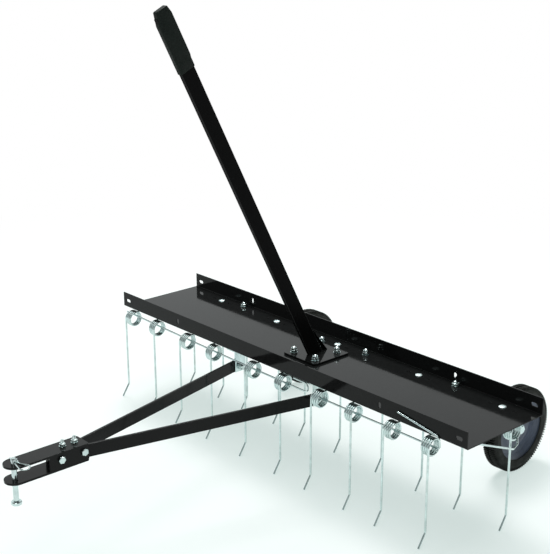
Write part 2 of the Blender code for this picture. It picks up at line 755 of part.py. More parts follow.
def build_foot(top):
    """A plate bolted to the tray floor, with a lug behind the bar's lower end."""
    low_x = HANDLE_X - FOOT_WIDTH / 2
    high_x = HANDLE_X + FOOT_WIDTH / 2
    front_y = FRONT_Y + FOOT_FRONT_Y
    rear_y = FRONT_Y + FOOT_REAR_Y
    corners = ((low_x, front_y), (high_x, front_y), (high_x, rear_y), (low_x, rear_y))
    outline = round_corners([Vector(corner) for corner in corners], 0.006, 3, closed=True)
    base = Vector((0, 0, DECK_Z + FIT + FOOT_PLATE / 2))
    plate = add_part("handle_foot", plate_mesh("foot", outline, FOOT_PLATE, LYING, base), BLACK_PAINT)
    sunk = top - FOOT_PLATE / 2
    edge = HANDLE_WIDTH / 2 + 2 * FIT
    sides = [
        handle_point(sunk, edge),
        handle_point(LUG_HEIGHT, edge),
        handle_point(LUG_HEIGHT * 0.7, edge + 0.012),
        handle_point(sunk, edge + 0.016),
    ]
    lug = plate_mesh("lug", sides, FOOT_LUG, SIDEWAYS, Vector((HANDLE_X, 0, 0)))
    combine(plate, add_cutter("foot_lug", lug), "UNION")


def bar_path(side):
    """The middle of a draw bar seen from above, from its tail under the tray to its nose."""
    tail_y = FRONT_Y + PIVOT_Y + BAR_TAIL
    corners = (
        (side * BAR_SPREAD, tail_y),
        (side * BAR_SPREAD, FRONT_Y + BAR_STRAIGHT_Y),
        (side * BAR_FRONT_X, HITCH_Y + BAR_BEND_SETBACK),
        (side * BAR_FRONT_X, HITCH_Y + BAR_NOSE_SETBACK),
    )
    return round_corners([Vector((x, y, 0)) for x, y in corners], (0, BAR_BEND, BAR_BEND, 0), 2)


def build_draw_bars():
    for side, label in ((-1, "left"), (1, "right")):
        bm = bmesh.new()
        low_z = BAR_TOP_Z - BAR_HEIGHT
        verts = [bm.verts.new((x, y, low_z)) for x, y, _ in bar_path(side)]
        edges = [bm.edges.new(pair) for pair in zip(verts, verts[1:])]
        swept = bmesh.ops.extrude_edge_only(bm, edges=edges)["geom"]
        moved = [item for item in swept if isinstance(item, bmesh.types.BMVert)]
        bmesh.ops.translate(bm, verts=moved, vec=(0, 0, BAR_HEIGHT))
        mesh = bpy.data.meshes.new("draw_bar")
        bm.to_mesh(mesh)
        bm.free()
        bar = add_part(f"drawbar_{label}", mesh, BLACK_PAINT, PIVOT)
        wall = bar.modifiers.new("wall", "SOLIDIFY")
        wall.thickness = BAR_THICKNESS
        wall.offset = 0
        wall.use_even_offset = True
        holes = bmesh.new()
        reach = BAR_THICKNESS
        near = (side * BAR_SPREAD - reach, PIVOT.y, PIVOT.z)
        far = (side * BAR_SPREAD + reach, PIVOT.y, PIVOT.z)
        add_cylinder(holes, BOLT_RADIUS + FIT, near, far)
        for setback in SIDE_BOLT_SETBACKS:
            near = (side * BAR_FRONT_X - reach, HITCH_Y + setback, SIDE_BOLT_Z)
            far = (side * BAR_FRONT_X + reach, HITCH_Y + setback, SIDE_BOLT_Z)
            add_cylinder(holes, HITCH_BOLT_RADIUS + FIT, near, far)
        cutter = add_cutter(f"drawbar_holes_{label}", finish_mesh("holes", holes))
        combine(bar, cutter, "DIFFERENCE")
        build_hanger(side, label)


def build_hanger(side, label):
    """An angle under the floor whose upright carries a draw bar on its pivot bolt."""
    bar_face = side * BAR_SPREAD + BAR_THICKNESS / 2 + FIT
    upright_x = bar_face + HANGER_SHEET
    front_y = FRONT_Y + HANGER_FRONT_Y
    rear_y = front_y + HANGER_WIDTH
    top_z = FLOOR_Z - FIT
    low_z = BAR_MID_Z - HANGER_MARGIN
    bm = bmesh.new()
    add_block(bm, (bar_face, front_y, low_z), (upright_x, rear_y, top_z))
    name = f"drawbar_bracket_{label}"
    bracket = add_part(name, finish_mesh(name, bm), ZINC)
    leg = bmesh.new()
    leg_low = (upright_x - HANGER_WIDTH, front_y, top_z - HANGER_SHEET)
    add_block(leg, leg_low, (upright_x - HANGER_SHEET / 2, rear_y, top_z))
    combine(bracket, add_cutter(f"hanger_leg_{label}", finish_mesh("leg", leg)), "UNION")
    hole = bmesh.new()
    near = (bar_face - HANGER_SHEET, PIVOT.y, PIVOT.z)
    far = (upright_x + HANGER_SHEET, PIVOT.y, PIVOT.z)
    add_cylinder(hole, BOLT_RADIUS + FIT, near, far)
    combine(bracket, add_cutter(f"hanger_hole_{label}", finish_mesh("hole", hole)), "DIFFERENCE")
    head_seat = (side * BAR_SPREAD - BAR_THICKNESS / 2 - FIT, PIVOT.y, PIVOT.z)
    nut_seat = (upright_x + FIT, PIVOT.y, PIVOT.z)
    bolt(f"pivot_bolt_{label}", head_seat, nut_seat, BOLT_RADIUS, BOLT_HEAD_RADIUS)


def strap_outline(front_y, rear_y):
    half = STRAP_WIDTH / 2
    corners = [(-half, rear_y), (-half, front_y), (half, front_y), (half, rear_y)]
    radii = (0.004, half * 0.98, half * 0.98, 0.004)
    return round_corners([Vector(corner) for corner in corners], radii, 6, closed=True)


def build_straps():
    """Two stamped plates that clamp the draw bars. Each has one cheek turned over their side."""
    rear_y = HITCH_Y + STRAP_LENGTH
    half = STRAP_WIDTH / 2
    inside = BAR_HEIGHT + 2 * FIT
    for label, low_z, side, setback in (
        ("top", TOP_STRAP_Z, 1, CHEEK_SETBACK),
        ("bottom", LOW_STRAP_Z, -1, FAR_CHEEK_SETBACK),
    ):
        mid = Vector((0, 0, low_z + STRAP_THICKNESS / 2))
        mesh = plate_mesh("strap", strap_outline(HITCH_Y, rear_y), STRAP_THICKNESS, LYING, mid)
        strap = add_part(f"hitch_strap_{label}", mesh, BLACK_PAINT, PIVOT)
        cheek = bmesh.new()
        cheek_x = sorted((side * half, side * (half - STRAP_THICKNESS)))
        if label == "top":
            cheek_z = (low_z - inside + FIT, low_z + STRAP_THICKNESS / 2)
        else:
            cheek_z = (low_z + STRAP_THICKNESS / 2, low_z + STRAP_THICKNESS + inside - FIT)
        low = (cheek_x[0], HITCH_Y + setback, cheek_z[0])
        add_block(cheek, low, (cheek_x[1], rear_y - CHEEK_INSET, cheek_z[1]))
        combine(strap, add_cutter(f"cheek_{label}", finish_mesh("cheek", cheek)), "UNION")
        holes = bmesh.new()
        below = low_z - 0.003
        above = low_z + STRAP_THICKNESS + 0.003
        for bolt_setback in TOP_BOLT_SETBACKS:
            spot = HITCH_Y + bolt_setback
            add_cylinder(holes, HITCH_BOLT_RADIUS + FIT, (0, spot, below), (0, spot, above))
        add_cylinder(holes, PIN_RADIUS + FIT, (0, PIN.y, below), (0, PIN.y, above), 16)
        if label == "bottom":
            keeper = Vector((KEEPER_HOLE_X, PIN.y, below))
            add_cylinder(holes, KEEPER_HOLE_RADIUS, keeper, (keeper.x, keeper.y, above))
        for bolt_setback in SIDE_BOLT_SETBACKS:
            near = (side * (half - 2 * STRAP_THICKNESS), HITCH_Y + bolt_setback, SIDE_BOLT_Z)
            far = (side * (half + STRAP_THICKNESS), HITCH_Y + bolt_setback, SIDE_BOLT_Z)
            add_cylinder(holes, HITCH_BOLT_RADIUS + FIT, near, far)
        cutter = add_cutter(f"strap_holes_{label}", finish_mesh("holes", holes))
        combine(strap, cutter, "DIFFERENCE")


def build_hitch_bolts():
    """Two bolts down through the straps, and two across through the cheeks and both bars."""
    over = TOP_STRAP_Z + STRAP_THICKNESS + FIT
    under = LOW_STRAP_Z - FIT
    seat = STRAP_WIDTH / 2 + FIT
    size = (HITCH_BOLT_RADIUS, HITCH_BOLT_HEAD_RADIUS)
    for label, top, side in zip(("front", "rear"), TOP_BOLT_SETBACKS, SIDE_BOLT_SETBACKS):
        spot = HITCH_Y + top
        bolt(f"hitch_top_bolt_{label}", (0, spot, under), (0, spot, over), *size, PIVOT)
        near = (seat, HITCH_Y + side, SIDE_BOLT_Z)
        far = (-seat, HITCH_Y + side, SIDE_BOLT_Z)
        bolt(f"hitch_side_bolt_{label}", near, far, *size, PIVOT)


def build_pin():
    top = PIN + Vector((0, 0, PIN_STANDING))
    foot = top - Vector((0, 0, PIN_LENGTH))
    clip_z = PIN.z + FIT + CLIP_WIRE / 2
    bm = bmesh.new()
    add_cylinder(bm, PIN_RADIUS, foot - Vector((0, 0, PIN_HEAD / 2)), top, 16)
    pin = add_part("hitch_pin", finish_mesh("hitch_pin", bm), ZINC, PIN)
    bevel(pin, 0.0010, 1)
    head = bmesh.new()
    add_cylinder(head, PIN_HEAD_RADIUS, foot - Vector((0, 0, PIN_HEAD)), foot, 16)
    combine(pin, add_cutter("pin_head", finish_mesh("head", head)), "UNION")
    hole = bmesh.new()
    middle = Vector((0, PIN.y, clip_z))
    reach = 2 * PIN_RADIUS * CLIP_WAY
    add_cylinder(hole, CLIP_WIRE / 2 + FIT, middle - reach, middle + reach, 8)
    combine(pin, add_cutter("clip_hole", finish_mesh("hole", hole)), "DIFFERENCE")
    build_clip(clip_z)


def build_clip(height):
    """A hairpin whose straight leg is through the pin and whose other leg goes round it."""
    hug = PIN_RADIUS + CLIP_WIRE / 2 + 3 * FIT
    centre = Vector((CLIP_LEG, CLIP_LOOP))
    points = [Vector((-CLIP_TAIL, 0))]
    for step in range(12):
        angle = math.radians(step * 20 - 90)
        points.append(centre + CLIP_LOOP * Vector((math.cos(angle), math.sin(angle))))
    points.append(Vector((CLIP_SHOULDER, hug + CLIP_WIRE)))
    for angle in (60, 90, 120):
        turn = math.radians(angle)
        points.append(hug * Vector((math.cos(turn), math.sin(turn))))
    points.append(Vector((-CLIP_HOOK, hug + CLIP_WIRE)))
    beside = Vector((-CLIP_WAY.y, CLIP_WAY.x, 0))
    placed = [Vector((0, PIN.y, height)) + x * CLIP_WAY + y * beside for x, y in points]
    wire("hairpin_clip", placed, CLIP_WIRE, ZINC, PIN)


build_tray()
build_tines()
build_rods()
build_wheels()
build_wheel_brackets()
build_handle()
build_draw_bars()
build_straps()
build_hitch_bolts()
build_pin()
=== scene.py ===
"""Looks of a tow-behind dethatcher: a folded steel tray with twenty coil-spring tines.

Metres, in the frame of the CAD model: X across the lawn, -Y towards the tractor, Z up.
"""

import json
import math

import bmesh
import bpy
from mathutils import Matrix, Vector


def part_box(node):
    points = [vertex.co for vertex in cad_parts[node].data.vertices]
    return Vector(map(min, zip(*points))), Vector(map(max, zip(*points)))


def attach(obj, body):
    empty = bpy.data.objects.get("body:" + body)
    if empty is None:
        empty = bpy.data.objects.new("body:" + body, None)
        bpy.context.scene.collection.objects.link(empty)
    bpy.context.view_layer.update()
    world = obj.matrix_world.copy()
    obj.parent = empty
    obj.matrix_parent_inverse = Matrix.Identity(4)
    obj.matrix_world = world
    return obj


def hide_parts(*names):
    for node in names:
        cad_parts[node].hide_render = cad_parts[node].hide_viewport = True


bl_info = {
    "name": "Tow-behind dethatcher",
    "version": (1, 0, 0),
    "blender": (4, 5, 0),
    "location": "View3D > Sidebar > Dethatcher",
    "description": "Dresses the pieces of a tow-behind dethatcher and sets its stage",
    "category": "Object",
}

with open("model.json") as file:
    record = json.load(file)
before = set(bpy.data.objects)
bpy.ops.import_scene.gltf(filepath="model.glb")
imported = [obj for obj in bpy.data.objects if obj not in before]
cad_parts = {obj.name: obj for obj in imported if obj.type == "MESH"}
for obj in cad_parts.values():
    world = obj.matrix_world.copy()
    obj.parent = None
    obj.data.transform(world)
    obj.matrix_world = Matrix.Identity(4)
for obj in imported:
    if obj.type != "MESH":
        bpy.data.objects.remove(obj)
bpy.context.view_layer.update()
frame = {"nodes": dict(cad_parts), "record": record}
TRAY_LOW, TRAY_HIGH = (Vector(corner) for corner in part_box("tray"))
RIGHT = Vector((1, 0, 0))
LEFT = Vector((-1, 0, 0))
UP = Vector((0, 0, 1))
DOWN = Vector((0, 0, -1))

# Fineness of the shapes
WIRE_SIDES = 12
TURN_STEPS = 28
WHEEL_STEPS = 96
SHARP = math.radians(35)
MERGED = 1e-6

# Fasteners
HOLE_SLACK = 0.0003
WASHER = 0.0011
NUT = 0.0048
HEAD_SEAT = 0.0048
NUT_SEAT = 0.0100
HITCH_BOLT_RADIUS = 0.0031
AXLE_RADIUS = 0.0061
AXLE_WASHER = 0.0012

# Tray
FLANGE_HEIGHT = 0.034
SHEET = 0.002
OUTER_BEND = 0.0034
INNER_BEND = 0.0014
CUT_PAST = 0.003
FRONT_Y = TRAY_LOW.y
REAR_Y = TRAY_HIGH.y
HALF_TRAY = TRAY_HIGH.x
FLOOR_Z = TRAY_HIGH.z - FLANGE_HEIGHT
DECK_Z = FLOOR_Z + SHEET
SLOT_Z = FLOOR_Z + 0.0165
SLOT_RADIUS = 0.0037
END_SLOT_INSET = 0.018
FRONT_SIDE_SLOTS = (-0.303, 0.303)
REAR_SIDE_SLOTS = (-0.298, 0.303)
TINE_BOLT_RADIUS = 0.003
TINE_BOLT_SETBACK = 0.0276
LANCE_OFFSET = 0.027
WIRE_SETBACK = 0.0165
BRACKET_BOLTS = (-0.315, 0.3145)
BRACKET_BOLT_RADIUS = 0.004
BRACKET_BOLT_Y = REAR_Y - 0.014
BRACKET_HOLES = (-0.325, 0.310)
FLOOR_BOLT_RADIUS = 0.0029
FOOT_BOLTS = ((-0.0162, 0.0820), (0.0471, 0.0824), (0.0447, 0.1461), (-0.0186, 0.1460))
DECK_BOLTS = ((-0.0266, 0.1725), (0.0850, 0.1900))

# Rows of tines, as the coils' line behind the tray's front and the middle of each pair
ROWS = {
    "front": (0.002, (-0.428, -0.225, -0.006, 0.191, 0.381)),
    "rear": (0.159, (-0.379, -0.186, 0.006, 0.233, 0.438)),
}
LEG_SPACING = 0.108
COIL_Z = FLOOR_Z - 0.0215
TIP_DROP = 0.028
TIP_ANGLE = math.radians(33)

# Handle
HANDLE_X = 0.015
LEAN = math.radians(27.2)
HANDLE_FOOT_Y = FRONT_Y + 0.1157
HANDLE_END_Z = FLOOR_Z + 0.709
BAR_THICKNESS = 0.0085
BAR_EDGES = (-0.0168, 0.0139)
GRIP_ABOVE_BAR = 0.011
GRIP_THICKNESS = 0.0120
GRIP_OUTLINE = (
    (0.0, -0.0122), (0.0, 0.0130), (0.0150, 0.0168), (0.0960, 0.0168),
    (0.1030, 0.0154), (0.1200, 0.0154), (0.1200, -0.0182), (0.0240, -0.0182),
)

# Hitch
PIN_AT = Vector((0, -0.50075, 0.1932))
CLIP_TURN = math.radians(-11)


def length_field(name, description, default):
    return bpy.props.FloatProperty(
        name=name, description=description, default=default, unit="LENGTH"
    )


def colour_field(name, description, default):
    return bpy.props.FloatVectorProperty(
        name=name, description=description, default=default, subtype="COLOR"
    )


class DethatcherSizes(bpy.types.PropertyGroup):
    tine_wire: length_field("Tine wire", "Diameter of the spring wire", 0.0042)
    rod_wire: length_field("Rod wire", "Diameter of the rods through the coils", 0.0038)
    coil_radius: length_field("Coil radius", "From a coil's axis to its wire", 0.0158)
    coil_pitch: length_field("Coil pitch", "Climb of a coil in one turn", 0.0052)
    coil_turns: bpy.props.FloatProperty(
        name="Coil turns", description="Turns in one coil", default=3.25
    )
    tread_lugs: bpy.props.IntProperty(
        name="Tread ribs", description="Ribs around each tyre", default=104, min=12
    )
    edge_rounding: length_field("Edge rounding", "Rounding of cut steel edges", 0.0005)


class DethatcherColours(bpy.types.PropertyGroup):
    paint: colour_field("Paint", "Gloss black powder coat", (0.0082, 0.0088, 0.0088))
    zinc: colour_field("Zinc", "Bright zinc plate", (0.68, 0.78, 0.76))
    tyre: colour_field("Tyre", "Rubber of the tyres", (0.0085, 0.0105, 0.0085))
    rim: colour_field("Rim", "Slate grey plastic of the rims", (0.066, 0.088, 0.125))
    grip: colour_field("Grip", "Soft rubber of the grip", (0.0040, 0.0070, 0.0055))


class DethatcherStage(bpy.types.PropertyGroup):
    floor_size: length_field("Floor size", "Side of the square floor", 60.0)
    floor_colour: colour_field("Floor", "Pale floor", (0.94, 0.90, 0.905))
    room_colour: colour_field("Room", "White walls seen in gloss", (0.96, 1.0, 1.0))


def settings(name):
    return getattr(bpy.context.scene, "dethatcher_" + name)


def along(way):
    """Turns the Z axis of a shape to a direction."""
    return UP.rotation_difference(Vector(way)).to_matrix().to_4x4()


def body_of(node):
    for body, nodes in frame["record"]["behaviour"]["bodies"].items():
        if node in nodes:
            return body
    raise LookupError(node)


def mesh_from(bm, name, smooth=40):
    bmesh.ops.recalc_face_normals(bm, faces=bm.faces)
    mesh = bpy.data.meshes.new(name)
    bm.to_mesh(mesh)
    bm.free()
    mesh.shade_smooth()
    mesh.set_sharp_from_angle(angle=math.radians(smooth))
    return mesh


def show(name, mesh, material, body, slot, *nodes):
    """Shows a finished mesh as a piece that moves with a body and stands for CAD nodes."""
    piece = bpy.data.objects.new(name, mesh)
    bpy.context.scene.collection.objects.link(piece)
    mesh.materials.clear()
    mesh.materials.append(finish(material))
    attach(piece, body)
    if nodes:
        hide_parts(*nodes)


def show_zinc(name, bm, body, *nodes):
    show(name, mesh_from(bm, name), "bright zinc", body, "zinc_plate", *nodes)


def drop(piece):
    mesh = piece.data
    bpy.data.objects.remove(piece)
    bpy.data.meshes.remove(mesh)


def applied(piece):
    """Puts a helper object's modifiers into its mesh, and hands the mesh over."""
    graph = bpy.context.evaluated_depsgraph_get()
    mesh = bpy.data.meshes.new_from_object(piece.evaluated_get(graph), depsgraph=graph)
    drop(piece)
    return mesh


def helper(bm, name):
    piece = bpy.data.objects.new(name, mesh_from(bm, name))
    bpy.context.scene.collection.objects.link(piece)
    return piece


def joined(body, other, operation):
    """Cuts one bmesh with another, or joins them, and gives the result as a new bmesh."""
    base = helper(body, "body")
    tool = helper(other, "tool")
    boolean = base.modifiers.new("boolean", "BOOLEAN")
    boolean.object = tool
    boolean.operation = operation
    boolean.solver = "EXACT"
    mesh = applied(base)
    drop(tool)
    bm = bmesh.new()
    bm.from_mesh(mesh)
    bpy.data.meshes.remove(mesh)
    return bm


def sharp_edges(bm):
    return [
        edge
        for edge in bm.edges
        if len(edge.link_faces) == 2 and edge.calc_face_angle() > SHARP
    ]


def bevel(bm, geom, width, segments, affect="EDGES", clamp=False):
    """Rounds edges or corners in a few steps."""
    return bmesh.ops.bevel(
        bm,
        geom=geom,
        offset=width,
        segments=segments,
        profile=0.5,
        affect=affect,
        clamp_overlap=clamp,
        material=-1,
    )


def soften(bm, width):
    """Rounds the sharp edges and marks the rounded strips where the paint is lighter: partly worn
    paint, partly a painted highlight.
    """
    bmesh.ops.remove_doubles(bm, verts=bm.verts, dist=MERGED)
    made = bevel(bm, sharp_edges(bm), width, 2, clamp=True)
    layer = bm.loops.layers.float.new("edge")
    for face in made["faces"]:
        for loop in face.loops:
            loop[layer] = 1.0


def flattened(bm, name):
    """A mesh whose flat faces shade flat, with the rounded strips between them smooth."""
    piece = helper(bm, name)
    piece.data.set_sharp_from_angle(angle=math.radians(60))
    weighted = piece.modifiers.new("weighted", "WEIGHTED_NORMAL")
    weighted.weight = 60
    weighted.keep_sharp = True
    mesh = applied(piece)
    mesh.name = name
    return mesh


def softened_node(node, material, slot, width=None, holes=None):
    """Stands for a plain CAD plate with the same plate, its cut edges rounded and holes cut."""
    source = frame["nodes"][node]
    bm = bmesh.new()
    bm.from_mesh(source.data)
    bmesh.ops.transform(bm, verts=bm.verts, matrix=source.matrix_world)
    bmesh.ops.remove_doubles(bm, verts=bm.verts, dist=2e-5)
    bmesh.ops.dissolve_limit(bm, angle_limit=math.radians(2), verts=bm.verts, edges=bm.edges)
    if holes:
        bm = joined(bm, holes, "DIFFERENCE")
    soften(bm, width or settings("sizes").edge_rounding)
    name = node + "_skin"
    show(name, flattened(bm, name), material, body_of(node), slot, node)


def rounded_face(bm, corners, radii, segments):
    """A flat face through corners, with some of them rounded."""
    face = bm.faces.new([bm.verts.new(corner) for corner in corners])
    for vert, radius in list(zip(list(face.verts), radii)):
        if radius:
            bevel(bm, [vert], radius, segments, "VERTICES")


def thicken(bm, face, way):
    """Pulls a flat face out into a solid."""
    made = bmesh.ops.extrude_face_region(bm, geom=[face])["geom"]
    verts = [item for item in made if isinstance(item, bmesh.types.BMVert)]
    bmesh.ops.translate(bm, verts=verts, vec=way)


def block(bm, low, high):
    low = Vector(low)
    high = Vector(high)
    place = Matrix.Translation((low + high) / 2) @ Matrix.Diagonal((*(high - low), 1))
    return bmesh.ops.create_cube(bm, size=1, matrix=place)["verts"]


def rod(bm, radius, start, end, sides=24):
    start = Vector(start)
    run = Vector(end) - start
    bmesh.ops.create_cone(
        bm,
        cap_ends=True,
        segments=sides,
        radius1=radius,
        radius2=radius,
        depth=run.length,
        matrix=Matrix.Translation(start + run / 2) @ along(run),
    )


def slot_hole(bm, radius, length, start, end, lengthwise):
    """A hole with round ends, stretched along one direction."""
    before = set(bm.verts)
    rod(bm, radius, start, end, 20)
    lengthwise = Vector(lengthwise)
    middle = (Vector(start) + Vector(end)) / 2
    for vert in set(bm.verts) - before:
        side = (vert.co - middle).dot(lengthwise)
        vert.co += lengthwise * math.copysign(length / 2 - radius, side)


def spin(bm, geom, centre, axis, angle, steps, **options):
    """Sweeps a shape about an axis, and gives what it ends as."""
    return bmesh.ops.spin(
        bm, geom=geom, cent=centre, axis=axis, angle=angle, steps=steps, **options
    )["geom_last"]


def turned(bm, profile, at, way, steps=32):
    """Turns (radius, height) pairs about an axis. They close up or end on the axis."""
    place = Matrix.Translation(at) @ along(way)
    made = bmesh.new()
    corners = [made.verts.new(place @ Vector((radius, 0, height))) for radius, height in profile]
    pairs = list(zip(corners, corners[1:]))
    if profile[0][0] or profile[-1][0]:
        pairs.append((corners[-1], corners[0]))
    edges = [made.edges.new(pair) for pair in pairs]
    spin(made, corners + edges, at, Vector(way).normalized(), math.tau, steps, use_merge=True)
    bmesh.ops.remove_doubles(made, verts=made.verts, dist=MERGED)
    add_mesh(bm, made)


def add_mesh(bm, other):
    mesh = bpy.data.meshes.new("shape")
    bmesh.ops.recalc_face_normals(other, faces=other.faces)
    other.to_mesh(mesh)
    other.free()
    bm.from_mesh(mesh)
    bpy.data.meshes.remove(mesh)


def hexagon(bm, at, way, flats, height, turn=0.0):
    """A hex head or nut that stands on a seat, with rounded rims and a dished top."""
    way = Vector(way).normalized()
    made = bmesh.new()
    place = Matrix.Translation(at) @ along(way) @ Matrix.Rotation(turn, 4, "Z")
    bmesh.ops.create_circle(
        made, cap_ends=True, segments=6, radius=flats / math.sqrt(3), matrix=place
    )
    thicken(made, made.faces[:][0], way * height)
    rims = []
    for edge in made.edges:
        start, end = edge.verts
        if abs((start.co - end.co).dot(way)) < MERGED:
            rims.append(edge)
    bevel(made, rims, 0.0009, 2)
    top = max(made.faces, key=lambda face: face.calc_center_median().dot(way) + face.calc_area())
    bmesh.ops.inset_individual(made, faces=[top], thickness=flats * 0.20, depth=-0.0013)
    add_mesh(bm, made)


def washer(bm, at, way, hole, radius, thickness):
    lip = thickness * 0.2
    outer = ((radius - lip, 0), (radius, lip), (radius, thickness - lip), (radius - lip, thickness))
    turned(bm, ((hole, 0), *outer, (hole, thickness)), at, way)


def threaded_end(bm, at, way, radius, length, pitch=0.0011):
    """The end of a bolt that stands past its nut, with the ridges of its thread."""
    profile = [(0, -0.001), (radius * 0.97, -0.001)]
    height = 0.0
    while height < length - pitch:
        profile.append((radius, height + pitch * 0.25))
        profile.append((radius * 0.86, height + pitch * 0.75))
        height += pitch
    profile += [(radius * 0.9, length - 0.0005), (radius * 0.72, length), (0, length)]
    turned(bm, profile, at, way, 20)


def bolted(bm, head, nut, radius, flats, end=0.0036, head_turn=0.0, nut_turn=0.3):
    """A hex bolt between two seats: a head before the first, a washer and nut after the second."""
    way = (nut - head).normalized()
    shank = radius * 0.97
    hexagon(bm, head - way * 0.0046, way, flats, 0.0044, head_turn)
    turned(bm, ((0, -0.0004), (shank, -0.0004), (shank, 0.002), (0, 0.002)), head, way, 20)
    rod(bm, radius * 0.96, head, nut, 20)
    washer(bm, nut, way, radius * 0.98, flats * 0.62, WASHER)
    seat = nut + way * WASHER
    hexagon(bm, seat, way, flats, NUT, nut_turn)
    threaded_end(bm, seat + way * NUT, way, radius, end)


def acorn(bm, at, turn):
    """A domed cap nut on its washer."""
    dome = 0.0061
    washer(bm, at, UP, 0.0040, 0.0078, WASHER)
    seat = at + UP * WASHER
    hexagon(bm, seat, UP, 0.0128, 0.0050, turn)
    profile = [(0, 0.0044), (dome, 0.0044), (dome, 0.0060)]
    for step in range(1, 8):
        angle = math.radians(step * 90 / 8)
        profile.append((dome * math.cos(angle), 0.0060 + 0.0056 * math.sin(angle)))
    profile.append((0, 0.0116))
    turned(bm, profile, seat, UP, 28)


class Wire:
    """A round wire that is drawn straight, bent and coiled from its first end to its last."""

    def __init__(self, bm, start, ahead, diameter):
        self.bm = bm
        self.at = Vector(start)
        place = Matrix.Translation(self.at) @ along(ahead)
        made = bmesh.ops.create_circle(bm, segments=WIRE_SIDES, radius=diameter / 2, matrix=place)
        self.ring = list({edge for vert in made["verts"] for edge in vert.link_edges})

    def run_to(self, point):
        point = Vector(point)
        made = bmesh.ops.extrude_edge_only(self.bm, edges=self.ring)["geom"]
        verts = {item for item in made if isinstance(item, bmesh.types.BMVert)}
        bmesh.ops.translate(self.bm, verts=list(verts), vec=point - self.at)
        self.ring = [
            item
            for item in made
            if isinstance(item, bmesh.types.BMEdge) and set(item.verts) <= verts
        ]
        self.at = point

    def curl(self, centre, axis, angle, steps, climb=0.0):
        axis = Vector(axis).normalized()
        verts = list({vert for edge in self.ring for vert in edge.verts})
        rise = axis * climb / steps
        made = spin(self.bm, verts + self.ring, centre, axis, angle, steps, dvec=rise)
        self.ring = [item for item in made if isinstance(item, bmesh.types.BMEdge)]
        turn = Matrix.Rotation(angle, 3, axis)
        self.at = Vector(centre) + turn @ (self.at - Vector(centre)) + axis * climb

    def follow(self, corners, bends, steps):
        """Runs through corners to the last point, with a bend at each corner before it."""
        corners = [Vector(corner) for corner in corners]
        for corner, after, bend in zip(corners, corners[1:], bends):
            into = (corner - self.at).normalized()
            out = (after - corner).normalized()
            turn = into.angle(out)
            if not bend or turn < 0.01:
                self.run_to(corner)
                continue
            reach = bend * math.tan(turn / 2)
            self.run_to(corner - into * reach)
            axis = into.cross(out).normalized()
            self.curl(self.at + axis.cross(into) * bend, axis, turn, steps)
        self.run_to(corners[-1])

    def end(self):
        """Closes both ends, with their rims slightly rounded."""
        loose = [edge for edge in self.bm.edges if len(edge.link_faces) == 1]
        caps = bmesh.ops.holes_fill(self.bm, edges=loose, sides=0)["faces"]
        rims = list({edge for face in caps for edge in face.edges})
        bevel(self.bm, rims, 0.00035, 1)


def put(tree, kind, sockets=None, **values):
    """Adds a node with its settings. Its sockets take plain values, or links from other sockets."""
    node = tree.nodes.new(kind)
    for name, value in values.items():
        setattr(node, name, value)
    for name, value in (sockets or {}).items():
        if isinstance(value, bpy.types.NodeSocket):
            tree.links.new(value, node.inputs[name])
        else:
            node.inputs[name].default_value = value
    return node


def maths(tree, operation, *values):
    """The result of one operation on plain values or sockets."""
    return put(tree, "ShaderNodeMath", dict(enumerate(values)), operation=operation).outputs[0]


def noise(tree, vector, scale, detail, roughness=0.5):
    sockets = {"Vector": vector, "Scale": scale, "Detail": detail, "Roughness": roughness}
    return put(tree, "ShaderNodeTexNoise", sockets).outputs["Fac"]


def spread(tree, value, start, stop, low=0.0, high=1.0, course="LINEAR"):
    """Stretches the values between two ends over another range."""
    sockets = {"Value": value, "From Min": start, "From Max": stop, "To Min": low, "To Max": high}
    return put(tree, "ShaderNodeMapRange", sockets, interpolation_type=course).outputs["Result"]


def group(name, inputs, output):
    """An empty shader node group, with its inputs and its one output."""
    tree = bpy.data.node_groups.new(name, "ShaderNodeTree")
    for label in inputs:
        kind = "Vector" if label in ("Vector", "Normal") else "Float"
        tree.interface.new_socket(label, in_out="INPUT", socket_type="NodeSocket" + kind)
    tree.interface.new_socket(output, in_out="OUTPUT", socket_type="NodeSocketFloat")
    given = tree.nodes.new("NodeGroupInput").outputs
    return tree, given, tree.nodes.new("NodeGroupOutput").inputs[output]


def cloudy_group(name):
    """Soft patches between a low and a high value."""
    tree, given, result = group(name, ("Vector", "Scale", "Low", "High"), "Value")
    patches = noise(tree, given["Vector"], given["Scale"], 4.0, 0.55)
    tree.links.new(spread(tree, patches, 0.34, 0.66, given["Low"], given["High"]), result)
    return tree


def relief_group(name):
    """Two sizes of bumps added up, for a coat's peel or a moulding's grain."""
    tree, given, result = group(name, ("Vector", "Scale", "Grain"), "Height")
    wide = noise(tree, given["Vector"], given["Scale"], 1.0)
    fine = noise(tree, given["Vector"], maths(tree, "MULTIPLY", given["Scale"], 6.0), 2.0)
    share = maths(tree, "MULTIPLY", fine, given["Grain"])
    tree.links.new(maths(tree, "ADD", wide, share), result)
    return tree


def scuff_group(name):
    """Thin rubbed lines along one direction, sparse and uneven."""
    tree, given, result = group(name, ("Vector", "Scale", "Amount"), "Mask")
    stretch = put(tree, "ShaderNodeMapping", {"Vector": given["Vector"], "Scale": (0.05, 1.0, 0.4)})
    lines = noise(tree, stretch.outputs[0], given["Scale"], 3.0, 0.7)
    patches = noise(tree, given["Vector"], 14.0, 2.0)
    thin = spread(tree, lines, 0.62, 0.74)
    both = maths(tree, "MULTIPLY", thin, spread(tree, patches, 0.48, 0.70))
    tree.links.new(maths(tree, "MULTIPLY", both, given["Amount"]), result)
    return tree


